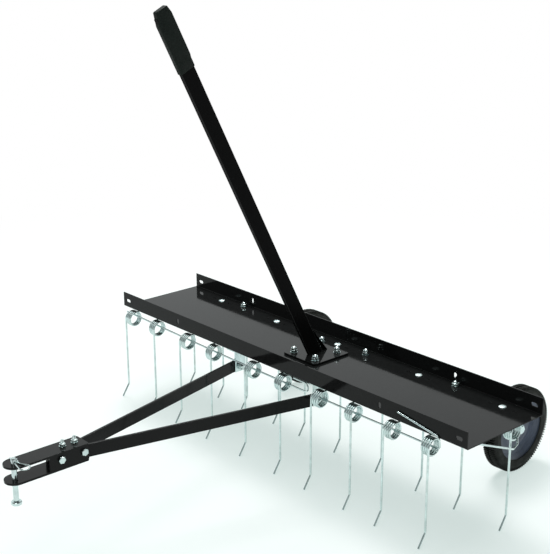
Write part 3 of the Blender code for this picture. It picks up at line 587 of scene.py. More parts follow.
def dust_group(name):
    """Fine dust that lies on what faces up, thicker in patches."""
    tree, given, result = group(name, ("Vector", "Normal", "Scale", "Amount"), "Mask")
    height = put(tree, "ShaderNodeSeparateXYZ", {"Vector": given["Normal"]}).outputs["Z"]
    specks = noise(tree, given["Vector"], given["Scale"], 8.0, 0.75)
    facing = spread(tree, height, 0.2, 0.95)
    lying = maths(tree, "MULTIPLY", facing, spread(tree, specks, 0.45, 0.85))
    tree.links.new(maths(tree, "MULTIPLY", lying, given["Amount"]), result)
    return tree


GROUP_MAKERS = {
    "Cloudy patches": cloudy_group,
    "Fine relief": relief_group,
    "Rubbed lines": scuff_group,
    "Settled dust": dust_group,
}


def use(tree, name, sockets):
    """The value of a shared group, which is made the first time that a finish needs it."""
    shared = bpy.data.node_groups.get(name) or GROUP_MAKERS[name](name)
    return put(tree, "ShaderNodeGroup", sockets, node_tree=shared).outputs[0]


def clouds(tree, place, scale, low=0.0, high=1.0):
    sockets = {"Vector": place, "Scale": scale, "Low": low, "High": high}
    return use(tree, "Cloudy patches", sockets)


def scuffs(tree, place, scale, amount):
    return use(tree, "Rubbed lines", {"Vector": place, "Scale": scale, "Amount": amount})


def settled(tree, place, scale, amount):
    normal = tree.nodes.new("ShaderNodeNewGeometry").outputs["Normal"]
    sockets = {"Vector": place, "Normal": normal, "Scale": scale, "Amount": amount}
    return use(tree, "Settled dust", sockets)


def blank_finish(name):
    """A material with its shader, and the coordinates that its patterns read."""
    material = bpy.data.materials.new(name)
    material.use_nodes = True
    tree = material.node_tree
    shader = tree.nodes["Principled BSDF"]
    place = tree.nodes.new("ShaderNodeTexCoord").outputs["Object"]
    return material, tree, shader, place


def shaded(colour, share):
    return tuple(part * share for part in colour)


def mixed(tree, first, second, factor):
    """Blends two colours by a mask."""
    node = put(tree, "ShaderNodeMix", {0: factor}, data_type="RGBA")
    for socket, value in zip((node.inputs[6], node.inputs[7]), (first, second)):
        if isinstance(value, bpy.types.NodeSocket):
            tree.links.new(value, socket)
        else:
            socket.default_value = (*value, 1)
    return node.outputs[2]


def coat(tree, shader, colour, roughness):
    tree.links.new(colour, shader.inputs["Base Color"])
    tree.links.new(roughness, shader.inputs["Roughness"])


def raised(tree, shader, height, distance, strength=1.0):
    sockets = {"Height": height, "Distance": distance, "Strength": strength}
    bump = put(tree, "ShaderNodeBump", sockets)
    tree.links.new(bump.outputs["Normal"], shader.inputs["Normal"])


def grained(tree, shader, place, scale, grain, distance):
    relief = use(tree, "Fine relief", {"Vector": place, "Scale": scale, "Grain": grain})
    raised(tree, shader, relief, distance)


def paint_finish(name, gloss=(0.05, 0.11), ior=1.22, shade=1.0, dust=0.05):
    """Powder coat: orange peel, a little dust, rubbed lines, and lighter rounded edges that are
    partly worn paint and partly a painted highlight.
    """
    material, tree, shader, place = blank_finish(name)
    shader.inputs["IOR"].default_value = ior
    base = shaded(settings("colours").paint, shade)
    edge = put(tree, "ShaderNodeAttribute", attribute_name="edge").outputs["Fac"]
    dusty = settled(tree, place, 90.0, dust)
    deep = mixed(tree, base, (0.11, 0.115, 0.11), dusty)
    lined = mixed(tree, deep, (0.06, 0.063, 0.063), scuffs(tree, place, 420.0, 0.3))
    # Lighter colour on the rounded edges: thin worn paint, and a painted highlight along them.
    worn_and_highlit_edges = mixed(tree, lined, (0.06, 0.064, 0.064), maths(tree, "MULTIPLY", edge, 0.4))
    dull = maths(tree, "MULTIPLY_ADD", dusty, 1.2, clouds(tree, place, 11.0, *gloss))
    coat(tree, shader, worn_and_highlit_edges, maths(tree, "MULTIPLY_ADD", edge, 0.12, dull))
    grained(tree, shader, place, 210.0, 0.12, 0.00003)
    return material


def zinc_finish(name, rough=(0.10, 0.22), lines=0.3):
    """Zinc plate: cloudy brightness, faint drawn lines and a slight blue in places."""
    material, tree, shader, place = blank_finish(name)
    base = tuple(settings("colours").zinc)
    shader.inputs["Metallic"].default_value = 1.0
    cloud = mixed(tree, shaded(base, 0.74), base, clouds(tree, place, 60.0))
    cool = mixed(tree, cloud, (0.62, 0.80, 0.84), clouds(tree, place, 22.0, 0.0, 0.35))
    lined = mixed(tree, cool, (0.40, 0.44, 0.44), scuffs(tree, place, 700.0, lines))
    coat(tree, shader, lined, clouds(tree, place, 130.0, *rough))
    grained(tree, shader, place, 900.0, 0.5, 0.00001)
    return material


def tyre_finish(name):
    """Rubber with dust on top, slightly paler in patches."""
    material, tree, shader, place = blank_finish(name)
    shader.inputs["IOR"].default_value = 1.3
    base = tuple(settings("colours").tyre)
    cloud = mixed(tree, base, shaded(base, 1.7), clouds(tree, place, 48.0))
    dull = mixed(tree, cloud, (0.13, 0.125, 0.105), settled(tree, place, 160.0, 0.10))
    coat(tree, shader, dull, clouds(tree, place, 75.0, 0.52, 0.78))
    grained(tree, shader, place, 800.0, 0.6, 0.00006)
    return material


def rim_finish(name):
    """Moulded plastic with a fine grain and rubbed lines."""
    material, tree, shader, place = blank_finish(name)
    base = tuple(settings("colours").rim)
    cloud = mixed(tree, base, shaded(base, 1.18), clouds(tree, place, 20.0))
    lined = mixed(tree, cloud, (0.16, 0.18, 0.21), scuffs(tree, place, 300.0, 0.4))
    coat(tree, shader, lined, clouds(tree, place, 40.0, 0.30, 0.44))
    grained(tree, shader, place, 700.0, 0.5, 0.00004)
    return material


def grip_finish(name):
    """Soft rubber with a fine stipple that breaks up its shine."""
    material, tree, shader, place = blank_finish(name)
    shader.inputs["IOR"].default_value = 1.22
    base = tuple(settings("colours").grip)
    sockets = {"Vector": place, "Scale": 620.0, "Randomness": 1.0}
    stipple = put(tree, "ShaderNodeTexVoronoi", sockets).outputs["Distance"]
    cells = spread(tree, stipple, 0.15, 0.75)
    speckled = mixed(tree, shaded(base, 2.4), base, cells)
    coat(tree, shader, speckled, clouds(tree, place, 90.0, 0.42, 0.66))
    raised(tree, shader, cells, 0.00018, 0.8)
    return material


def floor_finish(name):
    """A pale floor that shows near white, whiter far off, and keeps the object's shadow."""
    material, tree, shader, place = blank_finish(name)
    tree.nodes.remove(shader)
    colour = tuple(settings("stage").floor_colour)
    pale = tuple(min(part * 1.02, 1.0) for part in colour)
    tone = mixed(tree, colour, pale, clouds(tree, place, 0.8))
    matt = put(tree, "ShaderNodeBsdfDiffuse", {"Color": tone})
    glow = put(tree, "ShaderNodeEmission", {"Color": (0.85, 1.0, 0.965, 1), "Strength": 1.0})
    white = put(tree, "ShaderNodeEmission", {"Color": (1, 1, 1, 1), "Strength": 1.0})
    reach = put(tree, "ShaderNodeVectorMath", {0: place}, operation="LENGTH")
    far = spread(tree, reach.outputs["Value"], 0.9, 2.2, course="SMOOTHSTEP")
    seen = tree.nodes.new("ShaderNodeLightPath").outputs
    either = maths(tree, "MAXIMUM", seen["Is Camera Ray"], seen["Is Glossy Ray"])
    shown = maths(tree, "MAXIMUM", either, seen["Is Transmission Ray"])
    part = maths(tree, "MULTIPLY", shown, 0.6)
    near = put(tree, "ShaderNodeMixShader", {0: part, 1: matt.outputs[0], 2: glow.outputs[0]})
    beyond = maths(tree, "MULTIPLY", shown, far)
    both = put(tree, "ShaderNodeMixShader", {0: beyond, 1: near.outputs[0], 2: white.outputs[0]})
    tree.links.new(both.outputs[0], tree.nodes["Material Output"].inputs["Surface"])
    return material


def satin_finish(name):
    """The handle's coat, deeper and duller than the tray's."""
    return paint_finish(name, gloss=(0.18, 0.30), ior=1.09, shade=0.55, dust=0.02)


def dull_zinc_finish(name):
    """The plate of the tines' bolts, blunter than that of the springs."""
    return zinc_finish(name, rough=(0.42, 0.55), lines=0.1)


FINISHES = {
    "gloss black paint": paint_finish,
    "satin black paint": satin_finish,
    "bright zinc": zinc_finish,
    "dull zinc": dull_zinc_finish,
    "tyre rubber": tyre_finish,
    "slate plastic": rim_finish,
    "grip rubber": grip_finish,
    "pale floor": floor_finish,
}


def finish(name):
    """A finish by its name, made the first time that a piece takes it."""
    return bpy.data.materials.get(name) or FINISHES[name](name)


def side_slot(bm, x, y, reach, radius=SLOT_RADIUS, length=0.0118):
    """An upright slot through a flange of the tray, or a wider one through a bracket behind it."""
    slot_hole(bm, radius, length, (x, y - reach, SLOT_Z), (x, y + reach, SLOT_Z), UP)


def upright_hole(bm, radius, x, y, low_z, high_z):
    """A hole with a little slack for a bolt that stands upright."""
    rod(bm, radius + HOLE_SLACK, (x, y, low_z), (x, y, high_z))


def floor_bolt_holes(bm, spots, low_z, high_z):
    """Holes for the bolts under the cap nuts."""
    for x, y in spots:
        upright_hole(bm, FLOOR_BOLT_RADIUS, x, FRONT_Y + y, low_z, high_z)


def lance(bm, middle_x, axis_y):
    """A strip pressed down from the tray floor and hooked forward under the spring's wire."""
    wire_y = axis_y + WIRE_SETBACK - 0.0021
    root_y = axis_y + TINE_BOLT_SETBACK
    drop = FLOOR_Z - 0.0048
    thickness = 0.0016
    path = (
        (root_y, FLOOR_Z + 0.001),
        (root_y, drop),
        (wire_y, drop),
        (wire_y, drop - thickness),
        (root_y + thickness, drop - thickness),
        (root_y + thickness, FLOOR_Z + 0.001),
    )
    corners = [(middle_x - 0.0045, y, z) for y, z in path]
    face = bm.faces.new([bm.verts.new(corner) for corner in corners])
    thicken(bm, face, Vector((0.009, 0, 0)))


class DETHATCHER_OT_tray(bpy.types.Operator):
    """Folds the tray and cuts its holes, slots and hooks"""

    bl_idname = "dethatcher.tray"
    bl_label = "Tray"

    def execute(self, context):
        top = TRAY_HIGH.z
        outline = (
            (FRONT_Y, top, 0),
            (FRONT_Y, FLOOR_Z, OUTER_BEND),
            (REAR_Y, FLOOR_Z, OUTER_BEND),
            (REAR_Y, top, 0),
            (REAR_Y - SHEET, top, 0),
            (REAR_Y - SHEET, DECK_Z, INNER_BEND),
            (FRONT_Y + SHEET, DECK_Z, INNER_BEND),
            (FRONT_Y + SHEET, top, 0),
        )
        bm = bmesh.new()
        corners = [(-HALF_TRAY, y, z) for y, z, _ in outline]
        rounded_face(bm, corners, [radius for _, _, radius in outline], 6)
        thicken(bm, bm.faces[:][0], Vector((2 * HALF_TRAY, 0, 0)))
        holes = bmesh.new()
        hooks = bmesh.new()
        through = (FLOOR_Z - CUT_PAST, DECK_Z + CUT_PAST)
        for coil_y, pairs in ROWS.values():
            axis_y = FRONT_Y + coil_y
            hole_y = axis_y + TINE_BOLT_SETBACK
            for middle in pairs:
                upright_hole(holes, TINE_BOLT_RADIUS, middle, hole_y, *through)
                for side in (-1, 1):
                    spot = middle + side * LANCE_OFFSET
                    lance(hooks, spot, axis_y)
                    low = (spot - 0.0046, hole_y - 0.0020, DECK_Z - 0.0012)
                    block(holes, low, (spot + 0.0046, hole_y + 0.0016, DECK_Z + CUT_PAST))
        floor_bolt_holes(holes, FOOT_BOLTS + DECK_BOLTS, *through)
        for bolt_x in BRACKET_BOLTS:
            upright_hole(holes, BRACKET_BOLT_RADIUS, bolt_x, BRACKET_BOLT_Y, *through)
        for y, side_slots in ((FRONT_Y, FRONT_SIDE_SLOTS), (REAR_Y, REAR_SIDE_SLOTS)):
            for side in (-1, 1):
                x = side * (HALF_TRAY - END_SLOT_INSET)
                start, end = (x, y - 0.006, SLOT_Z), (x, y + 0.006, SLOT_Z)
                slot_hole(holes, SLOT_RADIUS, 0.0155, start, end, RIGHT)
            for x in side_slots:
                side_slot(holes, x, y, 0.006)
        bm = joined(bm, hooks, "UNION")
        bm = joined(bm, holes, "DIFFERENCE")
        soften(bm, 0.0003)
        mesh = flattened(bm, "folded_tray")
        show("folded_tray", mesh, "gloss black paint", "frame", "black_paint", "tray")
        return {"FINISHED"}


class DETHATCHER_OT_tines(bpy.types.Operator):
    """Winds the twenty spring tines and the wire between each two"""

    bl_idname = "dethatcher.tines"
    bl_label = "Spring tines"

    def tine(self, x, axis_y, hand):
        sizes = settings("sizes")
        lift = sizes.tine_wire / 2 * math.sin(TIP_ANGLE)
        radius = sizes.coil_radius
        knee = Vector((x, axis_y - radius, TIP_DROP))
        tip = knee - Vector((0, (TIP_DROP - lift) * math.tan(TIP_ANGLE), TIP_DROP - lift))
        bm = bmesh.new()
        wire = Wire(bm, tip, knee - tip, sizes.tine_wire)
        top = Vector((x, axis_y - radius, COIL_Z))
        wire.follow((knee, top), (0.009,), 8)
        turns = sizes.coil_turns
        centre = Vector((x, axis_y, COIL_Z))
        steps = round(turns * TURN_STEPS)
        wire.curl(centre, (-1, 0, 0), turns * math.tau, steps, -hand * turns * sizes.coil_pitch)
        wire.run_to(wire.at + Vector((0, 0.003, 0)))
        wire.end()
        return bm

    def bridge(self, middle, axis_y):
        sizes = settings("sizes")
        inner = LEG_SPACING / 2 - sizes.coil_turns * sizes.coil_pitch
        start_y = axis_y + 0.0031
        line_y = axis_y + WIRE_SETBACK
        coil_top = COIL_Z + sizes.coil_radius
        wire_z = FLOOR_Z - sizes.tine_wire / 2 - 0.0003
        half = (
            (-inner, start_y, coil_top),
            (-inner, start_y + 0.0035, coil_top),
            (-inner, line_y, wire_z),
        )
        path = [Vector((middle + x, y, z)) for x, y, z in half]
        path += [Vector((middle - x, y, z)) for x, y, z in reversed(half)]
        bm = bmesh.new()
        wire = Wire(bm, path[0], (0, 1, 0), sizes.tine_wire)
        wire.follow(path[1:], (0.006,) * 4, 6)
        wire.end()
        return bm

    def execute(self, context):
        for row, (coil_y, pairs) in ROWS.items():
            axis_y = FRONT_Y + coil_y
            for index, middle in enumerate(pairs):
                for hand in (1, -1):
                    number = 2 * index + (1 if hand > 0 else 2)
                    bm = self.tine(middle - hand * LEG_SPACING / 2, axis_y, hand)
                    node = f"{row}_tine_{number}"
                    show_zinc(node + "_wire", bm, body_of(node), node)
                node = f"{row}_bridge_{index + 1}"
                show_zinc(node + "_wire", self.bridge(middle, axis_y), "frame", node)
        return {"FINISHED"}


class DETHATCHER_OT_rods(bpy.types.Operator):
    """Bends the four rods that run through the coils"""

    bl_idname = "dethatcher.rods"
    bl_label = "Rods"

    def execute(self, context):
        sizes = settings("sizes")
        clear = sizes.rod_wire / 2 + 0.0003
        front, rear = (coil_y for coil_y, _ in ROWS.values())
        ends = HALF_TRAY
        paths = {
            "front_rod_left": (
                (
                    (0.0085 - ends, front, 0.0120),
                    (-0.300, front, 0.0165),
                    (-0.090, front, 0.0195),
                    (0.1115, front, 0.0205),
                    (0.1115, front, clear),
                    (0.070, front, clear),
                ),
                (0, 0, 0.009, 0.009),
            ),
            "front_rod_right": (
                (
                    (0.1385, front, 0.0205),
                    (ends - 0.060, front, 0.0205),
                    (ends - 0.060, -clear, -0.0045),
                    (ends - 0.158, -clear, -0.0200),
                ),
                (0.009, 0.009),
            ),
        }
        for side, label, start, inset in ((-1, "left", 0.080, 0.063), (1, "right", 0.160, 0.005)):
            end = side * (ends - inset)
            hooked = (
                (start, rear, 0.0318),
                (end - side * 0.0085, rear, 0.0320),
                (end - side * 0.0030, rear - 0.0055, 0.0395),
                (end - side * 0.0025, rear - 0.018, 0.0458),
                (end, rear - 0.120, clear),
            )
            paths["rear_rod_" + label] = (hooked, (0.0030, 0.0035, 0.0045))
        for node, (path, bends) in paths.items():
            points = [Vector((x, FRONT_Y + y, FLOOR_Z - drop)) for x, y, drop in path]
            bm = bmesh.new()
            wire = Wire(bm, points[0], points[1] - points[0], sizes.rod_wire)
            wire.follow(points[1:], bends, 8)
            wire.end()
            show_zinc(node + "_wire", bm, "frame", node)
        return {"FINISHED"}


class DETHATCHER_OT_wheels(bpy.types.Operator):
    """Turns the tyres and rims, and adds the tread's ribs"""

    bl_idname = "dethatcher.wheels"
    bl_label = "Wheels"

    def tyre(self, centre, radius, half):
        bm = bmesh.new()
        seat = 0.0719
        lip = 0.0634
        base = radius - 0.0042
        profile = (
            (seat, half * 0.80), (lip + 0.0014, half * 0.82), (lip, half * 0.86),
            (lip + 0.0008, half - 0.0008), (lip + 0.0034, half), (seat + 0.0050, half),
            (seat + 0.0062, half - 0.0008), (base - 0.0035, half - 0.0012),
            (base - 0.0010, half - 0.0032), (base, half - 0.0060), (base, 0.0060 - half),
            (base - 0.0010, 0.0032 - half), (base - 0.0035, 0.0012 - half),
            (seat + 0.0072, 0.0008 - half), (seat + 0.0060, -half), (seat + 0.0010, -half),
            (seat, 0.0010 - half),
        )
        turned(bm, profile, centre, RIGHT, WHEEL_STEPS)
        count = settings("sizes").tread_lugs
        wide = math.tau * radius / count * 0.60
        lugs = bmesh.new()
        for low, high in ((-half + 0.0012, -0.0018), (0.0018, half - 0.0012)):
            made = block(lugs, (low, -wide / 2, base - 0.0045), (high, wide / 2, radius))
            for vert in made:
                if vert.co.z > base:
                    vert.co.y *= 0.62
                    if abs(vert.co.x) > half * 0.5:
                        vert.co.x -= math.copysign(0.0014, vert.co.x)
        bmesh.ops.translate(lugs, verts=lugs.verts, vec=centre)
        row = lugs.verts[:] + lugs.edges[:] + lugs.faces[:]
        around = math.tau * (count - 1) / count
        spin(lugs, row, centre, RIGHT, around, count - 1, use_duplicate=True)
        add_mesh(bm, lugs)
        return bm

    def rim(self, centre, half):
        bm = bmesh.new()
        band = 0.067
        profile = (
            (0.0067, half * 0.8), (0.0140, half * 0.8), (0.0152, half * 0.8 - 0.0010),
            (0.0156, half * 0.28), (0.0172, half * 0.2), (0.0300, half * 0.16),
            (0.0335, half * 0.16 + 0.0016), (0.0375, half * 0.16 + 0.0016),
            (0.0410, half * 0.14), (0.0520, half * 0.10), (0.0560, half * 0.14),
            (0.0620, half * 0.50), (0.0650, half * 0.66), (band, half * 0.74),
            (0.0710, half * 0.76), (0.0715, half * 0.72), (0.0715, -half * 0.92),
            (0.0710, -half * 0.95), (band, -half * 0.95), (band - 0.001, -half * 0.30),
            (band - 0.005, half * 0.1 - 0.004), (0.0165, half * 0.2 - 0.004),
            (0.0155, half * 0.2 - 0.005), (0.0155, -0.0180), (0.0148, -0.0187),
            (0.0067, -0.0187),
        )
        turned(bm, profile, centre, RIGHT, WHEEL_STEPS)
        return bm

    def axle_bolt(self, centre):
        bm = bmesh.new()
        flats = 0.0162
        seat = centre + RIGHT * 0.0122
        washer(bm, seat, RIGHT, 0.0063, 0.0104, AXLE_WASHER)
        hexagon(bm, seat + RIGHT * AXLE_WASHER, RIGHT, flats, 0.0036)
        nut = centre - RIGHT * 0.0233
        rod(bm, AXLE_RADIUS, seat + RIGHT * AXLE_WASHER, nut)
        washer(bm, nut, LEFT, 0.0062, 0.0104, AXLE_WASHER)
        hexagon(bm, nut - RIGHT * AXLE_WASHER, LEFT, flats, NUT, 0.2)
        threaded_end(bm, nut - RIGHT * 0.0060, LEFT, AXLE_RADIUS, 0.0038, 0.0012)
        return bm

    def execute(self, context):
        for label in ("left", "right"):
            low, high = (Vector(corner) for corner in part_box("wheel_tyre_" + label))
            centre = (low + high) / 2
            radius = (high.z - low.z) / 2
            half = (high.x - low.x) / 2
            body = label + "_wheel"
            node = "wheel_tyre_" + label
            tyre = mesh_from(self.tyre(centre, radius, half), node + "_tread", 30)
            show(node + "_tread", tyre, "tyre rubber", body, "tyre_rubber", node)
            node = "wheel_rim_" + label
            rim = mesh_from(self.rim(centre, half), node + "_dish", 32)
            show(node + "_dish", rim, "slate plastic", body, "rim_plastic", node)
            node = "axle_bolt_" + label
            show_zinc(node + "_hex", self.axle_bolt(centre), "frame", node)
        return {"FINISHED"}


class DETHATCHER_OT_brackets(bpy.types.Operator):
    """Rounds the wheel brackets and the draw bars' brackets"""

    bl_idname = "dethatcher.brackets"
    bl_label = "Brackets"

    def execute(self, context):
        places = zip(("left", "right"), REAR_SIDE_SLOTS, BRACKET_BOLTS, BRACKET_HOLES)
        for label, slot_x, bolt_x, hole_x in places:
            holes = bmesh.new()
            side_slot(holes, slot_x - 0.0075, REAR_Y, 0.020, 0.0068, 0.0180)
            middle = (bolt_x + hole_x) / 2
            low = (middle, BRACKET_BOLT_Y, FLOOR_Z - 0.008)
            high = (middle, BRACKET_BOLT_Y, FLOOR_Z + 0.002)
            slot_hole(holes, 0.0046, abs(bolt_x - hole_x) + 0.0092, low, high, (1, 0, 0))
            softened_node("wheel_bracket_" + label, "gloss black paint", "black_paint", holes=holes)
            softened_node("drawbar_bracket_" + label, "bright zinc", "zinc_plate", 0.0004)
        return {"FINISHED"}


class DETHATCHER_OT_handle(bpy.types.Operator):
    """Finishes the lift handle, its foot and its grip"""

    bl_idname = "dethatcher.handle"
    bl_label = "Lift handle"

    def point(self, down, across):
        """A point beside the leaning bar, from its end downwards and towards its rear edge."""
        end = Vector((0, HANDLE_FOOT_Y - math.tan(LEAN) * (HANDLE_END_Z - FLOOR_Z), HANDLE_END_Z))
        upwards = Vector((0, -math.sin(LEAN), math.cos(LEAN)))
        rearwards = Vector((0, math.cos(LEAN), math.sin(LEAN)))
        return end - upwards * down + rearwards * across

    def plate(self, corners, thickness):
        bm = bmesh.new()
        side = Vector((HANDLE_X - thickness / 2, 0, 0))
        face = bm.faces.new([bm.verts.new(side + corner) for corner in corners])
        thicken(bm, face, Vector((thickness, 0, 0)))
        bmesh.ops.recalc_face_normals(bm, faces=bm.faces)
        return bm

    def bar(self, slack=0.0, low_z=0.0):
        """The flat bar, cut level at its foot; with slack it is the bore of the grip."""
        front, rear = (edge + math.copysign(slack, edge) for edge in BAR_EDGES)
        corners = [self.point(-slack, front), self.point(-slack, rear)]
        for across in (rear, front):
            start = self.point(0, across)
            down = (start.z - low_z) / math.cos(LEAN)
            corners.append(self.point(down, across))
        return self.plate(corners, BAR_THICKNESS + 2 * slack)

    def lug_trim(self):
        """What the lug behind the bar loses at its rear."""
        seat_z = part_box("handle_foot")[0][2] + 0.0044
        across = BAR_EDGES[1] + 0.0050
        start = self.point(0, across)
        down = (start.z - seat_z) / math.cos(LEAN)
        low = self.point(down, across)
        high = self.point(down - 0.10, across)
        corners = [low, high, high + Vector((0, 0.10, 0)), low + Vector((0, 0.15, 0))]
        return self.plate(corners, 0.060)

    def grip(self):
        corners = [self.point(down - GRIP_ABOVE_BAR, across) for down, across in GRIP_OUTLINE]
        bm = self.plate(corners, GRIP_THICKNESS)
        bevel(bm, sharp_edges(bm), 0.0022, 4)
        return joined(bm, self.bar(0.0002, 0.5), "DIFFERENCE")

    def execute(self, context):
        bm = self.bar(low_z=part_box("handle_bar")[0][2])
        soften(bm, 0.0008)
        mesh = flattened(bm, "handle_flat_bar")
        show("handle_flat_bar", mesh, "satin black paint", "frame", "black_paint", "handle_bar")
        trim = self.lug_trim()
        foot_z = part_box("handle_foot")[0][2]
        floor_bolt_holes(trim, FOOT_BOLTS, foot_z - 0.002, foot_z + 0.006)
        softened_node("handle_foot", "gloss black paint", "black_paint", holes=trim)
        mesh = mesh_from(self.grip(), "handle_grip_sleeve", 50)
        show("handle_grip_sleeve", mesh, "grip rubber", "frame", "grip_rubber", "handle_grip")
        return {"FINISHED"}


class DETHATCHER_OT_hitch(bpy.types.Operator):
    """Finishes the draw bars and straps, and makes the pin and its clip"""

    bl_idname = "dethatcher.hitch"
    bl_label = "Draw bars and hitch"

    def pin(self):
        low, high = (Vector(corner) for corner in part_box("hitch_pin"))
        bm = bmesh.new()
        length = high.z - low.z
        profile = (
            (0, 0), (0.0078, 0), (0.0092, 0.0012), (0.0095, 0.0026), (0.0095, 0.0056),
            (0.0086, 0.0066), (0.0048, 0.0070), (0.0048, length - 0.0020), (0.0036, length),
            (0, length),
        )
        turned(bm, profile, (PIN_AT.x, PIN_AT.y, low.z), UP)
        way = Vector((math.cos(CLIP_TURN), math.sin(CLIP_TURN), 0))
        hole = bmesh.new()
        rod(hole, 0.0015, PIN_AT - way * 0.012, PIN_AT + way * 0.012, 16)
        return joined(bm, hole, "DIFFERENCE")

    def clip(self):
        place = Matrix.Translation(PIN_AT) @ Matrix.Rotation(CLIP_TURN, 4, "Z")
        bm = bmesh.new()
        loop = 0.0095
        bend_x = 0.028
        wire = Wire(bm, (-0.019, 0, 0), (1, 0, 0), 0.0024)
        wire.run_to((bend_x, 0, 0))
        wire.curl((bend_x, loop, 0), UP, math.radians(220), 24)
        path = (
            (0.0125, 0.0090), (0.0044, 0.0056), (0, 0.0082), (-0.0044, 0.0056), (-0.010, 0.0093)
        )
        wire.follow([(x, y, 0) for x, y in path], (0.004, 0.0018, 0.0058, 0.0018), 6)
        wire.end()
        bmesh.ops.transform(bm, verts=bm.verts, matrix=place)
        return bm

    def execute(self, context):
        for node in ("drawbar_left", "drawbar_right", "hitch_strap_top", "hitch_strap_bottom"):
            softened_node(node, "gloss black paint", "black_paint")
        show_zinc("hitch_pin_turned", self.pin(), "pin", "hitch_pin")
        show_zinc("hairpin_wire", self.clip(), "clip", "hairpin_clip")
        return {"FINISHED"}


class DETHATCHER_OT_fasteners(bpy.types.Operator):
    """Makes the hex bolts, the nuts and the cap nuts"""

    bl_idname = "dethatcher.fasteners"
    bl_label = "Nuts and bolts"

    def seats(self, box, axis, head_high=False):
        """Where a bolt's head and nut sit between the ends of its CAD box."""
        low, high = box
        head = (Vector(low) + Vector(high)) / 2
        nut = head.copy()
        if head_high:
            head[axis], nut[axis] = high[axis] - HEAD_SEAT, low[axis] + NUT_SEAT
        else:
            head[axis], nut[axis] = low[axis] + HEAD_SEAT, high[axis] - NUT_SEAT
        return head, nut

    def replace(self, node, head, nut, radius, flats, **options):
        bm = bmesh.new()
        bolted(bm, head, nut, radius, flats, **options)
        show_zinc(node + "_hex", bm, body_of(node), node)

    def tine_bolt(self, bm, at):
        """A round-headed bolt whose wide washer holds a double spring's wire to the tray."""
        head = (
            (0, -0.0005), (0.0028, -0.0005), (0.0028, 0), (0.0071, 0), (0.0075, 0.0005),
            (0.0072, 0.0012), (0.0061, 0.0018), (0.0040, 0.0022), (0, 0.0023),
        )
        wide = 0.0014
        at.z = DECK_Z + 0.0001
        turned(bm, head, at, UP, 28)
        under = Vector((at.x, at.y, FLOOR_Z - 0.0047))
        rod(bm, TINE_BOLT_RADIUS, under, at, 16)
        washer(bm, under, DOWN, TINE_BOLT_RADIUS, 0.0125, wide)
        seat = under + DOWN * wide
        hexagon(bm, seat, DOWN, 0.0100, NUT, at.x * 9)
        threaded_end(bm, seat + DOWN * NUT, DOWN, TINE_BOLT_RADIUS, 0.0030, 0.001)

    def execute(self, context):
        for label in ("left", "right"):
            seats = self.seats(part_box("pivot_bolt_" + label), 0)
            self.replace("pivot_bolt_" + label, *seats, 0.004, 0.0128)
        for label, turn in (("front", 0.15), ("rear", 0.5)):
            node = "hitch_top_bolt_" + label
            seats = self.seats(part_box("hitch_top_bolt_" + label), 2)
            self.replace(node, *seats, HITCH_BOLT_RADIUS, 0.0104, nut_turn=turn, end=0.0068)
            node = "hitch_side_bolt_" + label
            seats = self.seats(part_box("hitch_side_bolt_" + label), 0, head_high=True)
            self.replace(node, *seats, HITCH_BOLT_RADIUS, 0.0124, head_turn=turn)
        foot_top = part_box("handle_foot")[0][2] + 0.0042
        bm = bmesh.new()
        spots = [(*spot, foot_top) for spot in FOOT_BOLTS]
        spots += [(*spot, DECK_Z) for spot in DECK_BOLTS]
        for index, (x, y, seat) in enumerate(spots):
            at = Vector((x, FRONT_Y + y, seat + 0.0001))
            acorn(bm, at, index * 0.4)
            under = Vector((at.x, at.y, FLOOR_Z - 0.0001))
            rod(bm, FLOOR_BOLT_RADIUS, under, at + Vector((0, 0, 0.003)), 16)
            hexagon(bm, under, DOWN, 0.0100, 0.0032, index * 0.7)
        show_zinc("floor_cap_nuts", bm, "frame")
        bm = bmesh.new()
        for x in BRACKET_BOLTS:
            seat = Vector((x, BRACKET_BOLT_Y, DECK_Z + 0.0002))
            under = Vector((x, BRACKET_BOLT_Y, FLOOR_Z - 0.0046))
            bolted(bm, under, seat, BRACKET_BOLT_RADIUS, 0.0128, end=0.0040)
        show_zinc("bracket_floor_bolts", bm, "frame")
        bm = bmesh.new()
        for coil_y, pairs in ROWS.values():
            for middle in pairs:
                self.tine_bolt(bm, Vector((middle, FRONT_Y + coil_y + TINE_BOLT_SETBACK, 0)))
        mesh = mesh_from(bm, "tine_bolts")
        show("tine_bolts", mesh, "dull zinc", "frame", "zinc_plate")
        return {"FINISHED"}


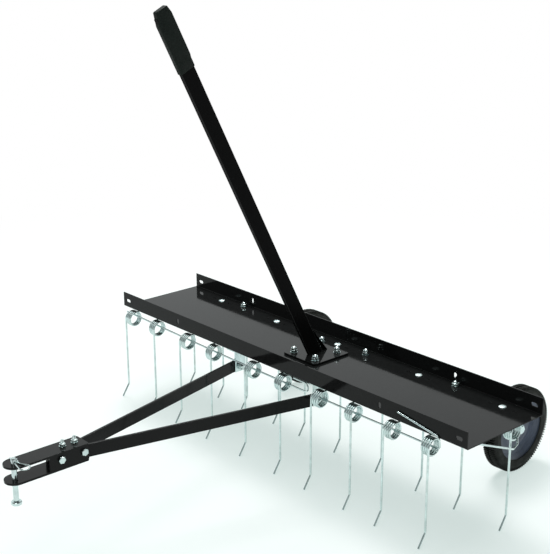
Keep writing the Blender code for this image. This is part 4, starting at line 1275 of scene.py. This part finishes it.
class DETHATCHER_OT_stage(bpy.types.Operator):
    """Lays the floor, and sets the room, the lights and the camera"""

    bl_idname = "dethatcher.stage"
    bl_label = "Stage"

    def light(self, name, place, target, size, power, colour):
        data = bpy.data.lights.new(name, "AREA")
        data.shape = "SQUARE"
        data.size = size
        data.energy = power
        data.color = colour
        lamp = bpy.data.objects.new(name, data)
        lamp.location = place
        lamp.rotation_euler = (Vector(target) - Vector(place)).to_track_quat("-Z", "Y").to_euler()
        bpy.context.scene.collection.objects.link(lamp)

    def room(self, stage):
        """White walls that darken towards the ceiling, plain white where the camera sees them."""
        world = bpy.context.scene.world or bpy.data.worlds.new("room")
        bpy.context.scene.world = world
        world.use_nodes = True
        tree = world.node_tree
        way = tree.nodes.new("ShaderNodeTexCoord").outputs["Generated"]
        height = put(tree, "ShaderNodeSeparateXYZ", {"Vector": way}).outputs["Z"]
        high = spread(tree, height, 0.46, 0.72, 1.0, 0.2, "SMOOTHSTEP")
        toward = {0: way, 1: (-0.748, 0.663, 0)}
        back = put(tree, "ShaderNodeVectorMath", toward, operation="DOT_PRODUCT")
        side = spread(tree, back.outputs["Value"], -0.35, 0.35, 0.3, 1.0)
        level = maths(tree, "MULTIPLY", high, side)
        seen = tree.nodes.new("ShaderNodeLightPath").outputs["Is Camera Ray"]
        colour = mixed(tree, tuple(stage.room_colour), (1, 1, 1), seen)
        shade = tree.nodes["Background"]
        tree.links.new(colour, shade.inputs["Color"])
        tree.links.new(maths(tree, "MAXIMUM", level, seen), shade.inputs["Strength"])

    def camera(self):
        azimuth = math.radians(48.44)
        elevation = math.radians(17.65)
        roll = math.radians(-0.18)
        right = Vector((math.cos(azimuth), math.sin(azimuth), 0))
        away = math.cos(elevation)
        back = Vector((math.sin(azimuth) * away, -math.cos(azimuth) * away, math.sin(elevation)))
        level = Matrix((right, back.cross(right), back)).transposed()
        data = bpy.data.cameras.new("camera")
        data.sensor_fit = "VERTICAL"
        data.sensor_height = 24
        data.lens = 50.86
        data.clip_end = 200
        camera = bpy.data.objects.new("camera", data)
        turned_frame = level @ Matrix.Rotation(roll, 3, "Z")
        camera.matrix_world = Matrix.Translation((1.6467, -1.36555, 1.0965)) @ turned_frame.to_4x4()
        bpy.context.scene.collection.objects.link(camera)
        bpy.context.scene.camera = camera

    def execute(self, context):
        stage = settings("stage")
        scene = bpy.context.scene
        scene.view_settings.view_transform = "Standard"
        bm = bmesh.new()
        bmesh.ops.create_grid(bm, x_segments=8, y_segments=8, size=stage.floor_size / 2)
        bmesh.ops.translate(bm, verts=bm.verts, vec=(0, 0, -0.0004))
        floor = bpy.data.objects.new("floor", mesh_from(bm, "floor"))
        floor.data.materials.append(finish("pale floor"))
        scene.collection.objects.link(floor)
        self.room(stage)
        lamps = (
            ("lamp over the back left", (-2.0, 1.6, 4.5), (0.1, 0.1, 0), 1.9, 195, (1, 1, 1)),
            ("lamp over the front", (1.8, -2.4, 4.4), (0, 0, 0.1), 2.4, 45, (1, 1, 0.99)),
            ("lamp overhead", (0.0, 0.3, 5.2), (0, 0.1, 0), 3.0, 85, (0.98, 1, 1)),
        )
        for lamp in lamps:
            self.light(*lamp)
        self.camera()
        return {"FINISHED"}


class DETHATCHER_PT_panel(bpy.types.Panel):
    bl_idname = "DETHATCHER_PT_panel"
    bl_label = "Dethatcher"
    bl_space_type = "VIEW_3D"
    bl_region_type = "UI"
    bl_category = "Dethatcher"

    def draw(self, context):
        layout = self.layout
        for operator in OPERATORS:
            layout.operator(operator.bl_idname)
        for name in GROUPS:
            box = layout.box()
            chosen = settings(name)
            for field in GROUPS[name].__annotations__:
                box.prop(chosen, field)


GROUPS = {"sizes": DethatcherSizes, "colours": DethatcherColours, "stage": DethatcherStage}
OPERATORS = (
    DETHATCHER_OT_tray,
    DETHATCHER_OT_tines,
    DETHATCHER_OT_rods,
    DETHATCHER_OT_wheels,
    DETHATCHER_OT_brackets,
    DETHATCHER_OT_handle,
    DETHATCHER_OT_hitch,
    DETHATCHER_OT_fasteners,
    DETHATCHER_OT_stage,
)


def register():
    for group_class in GROUPS.values():
        bpy.utils.register_class(group_class)
    for name, group_class in GROUPS.items():
        setattr(bpy.types.Scene, "dethatcher_" + name, bpy.props.PointerProperty(type=group_class))
    for operator in (*OPERATORS, DETHATCHER_PT_panel):
        bpy.utils.register_class(operator)


def unregister():
    for operator in reversed((*OPERATORS, DETHATCHER_PT_panel)):
        bpy.utils.unregister_class(operator)
    for name, group_class in reversed(GROUPS.items()):
        delattr(bpy.types.Scene, "dethatcher_" + name)
        bpy.utils.unregister_class(group_class)


def main():
    register()
    for operator in OPERATORS:
        group_name, action = operator.bl_idname.split(".")
        getattr(getattr(bpy.ops, group_name), action)()


if __name__ == "__main__":
    main()
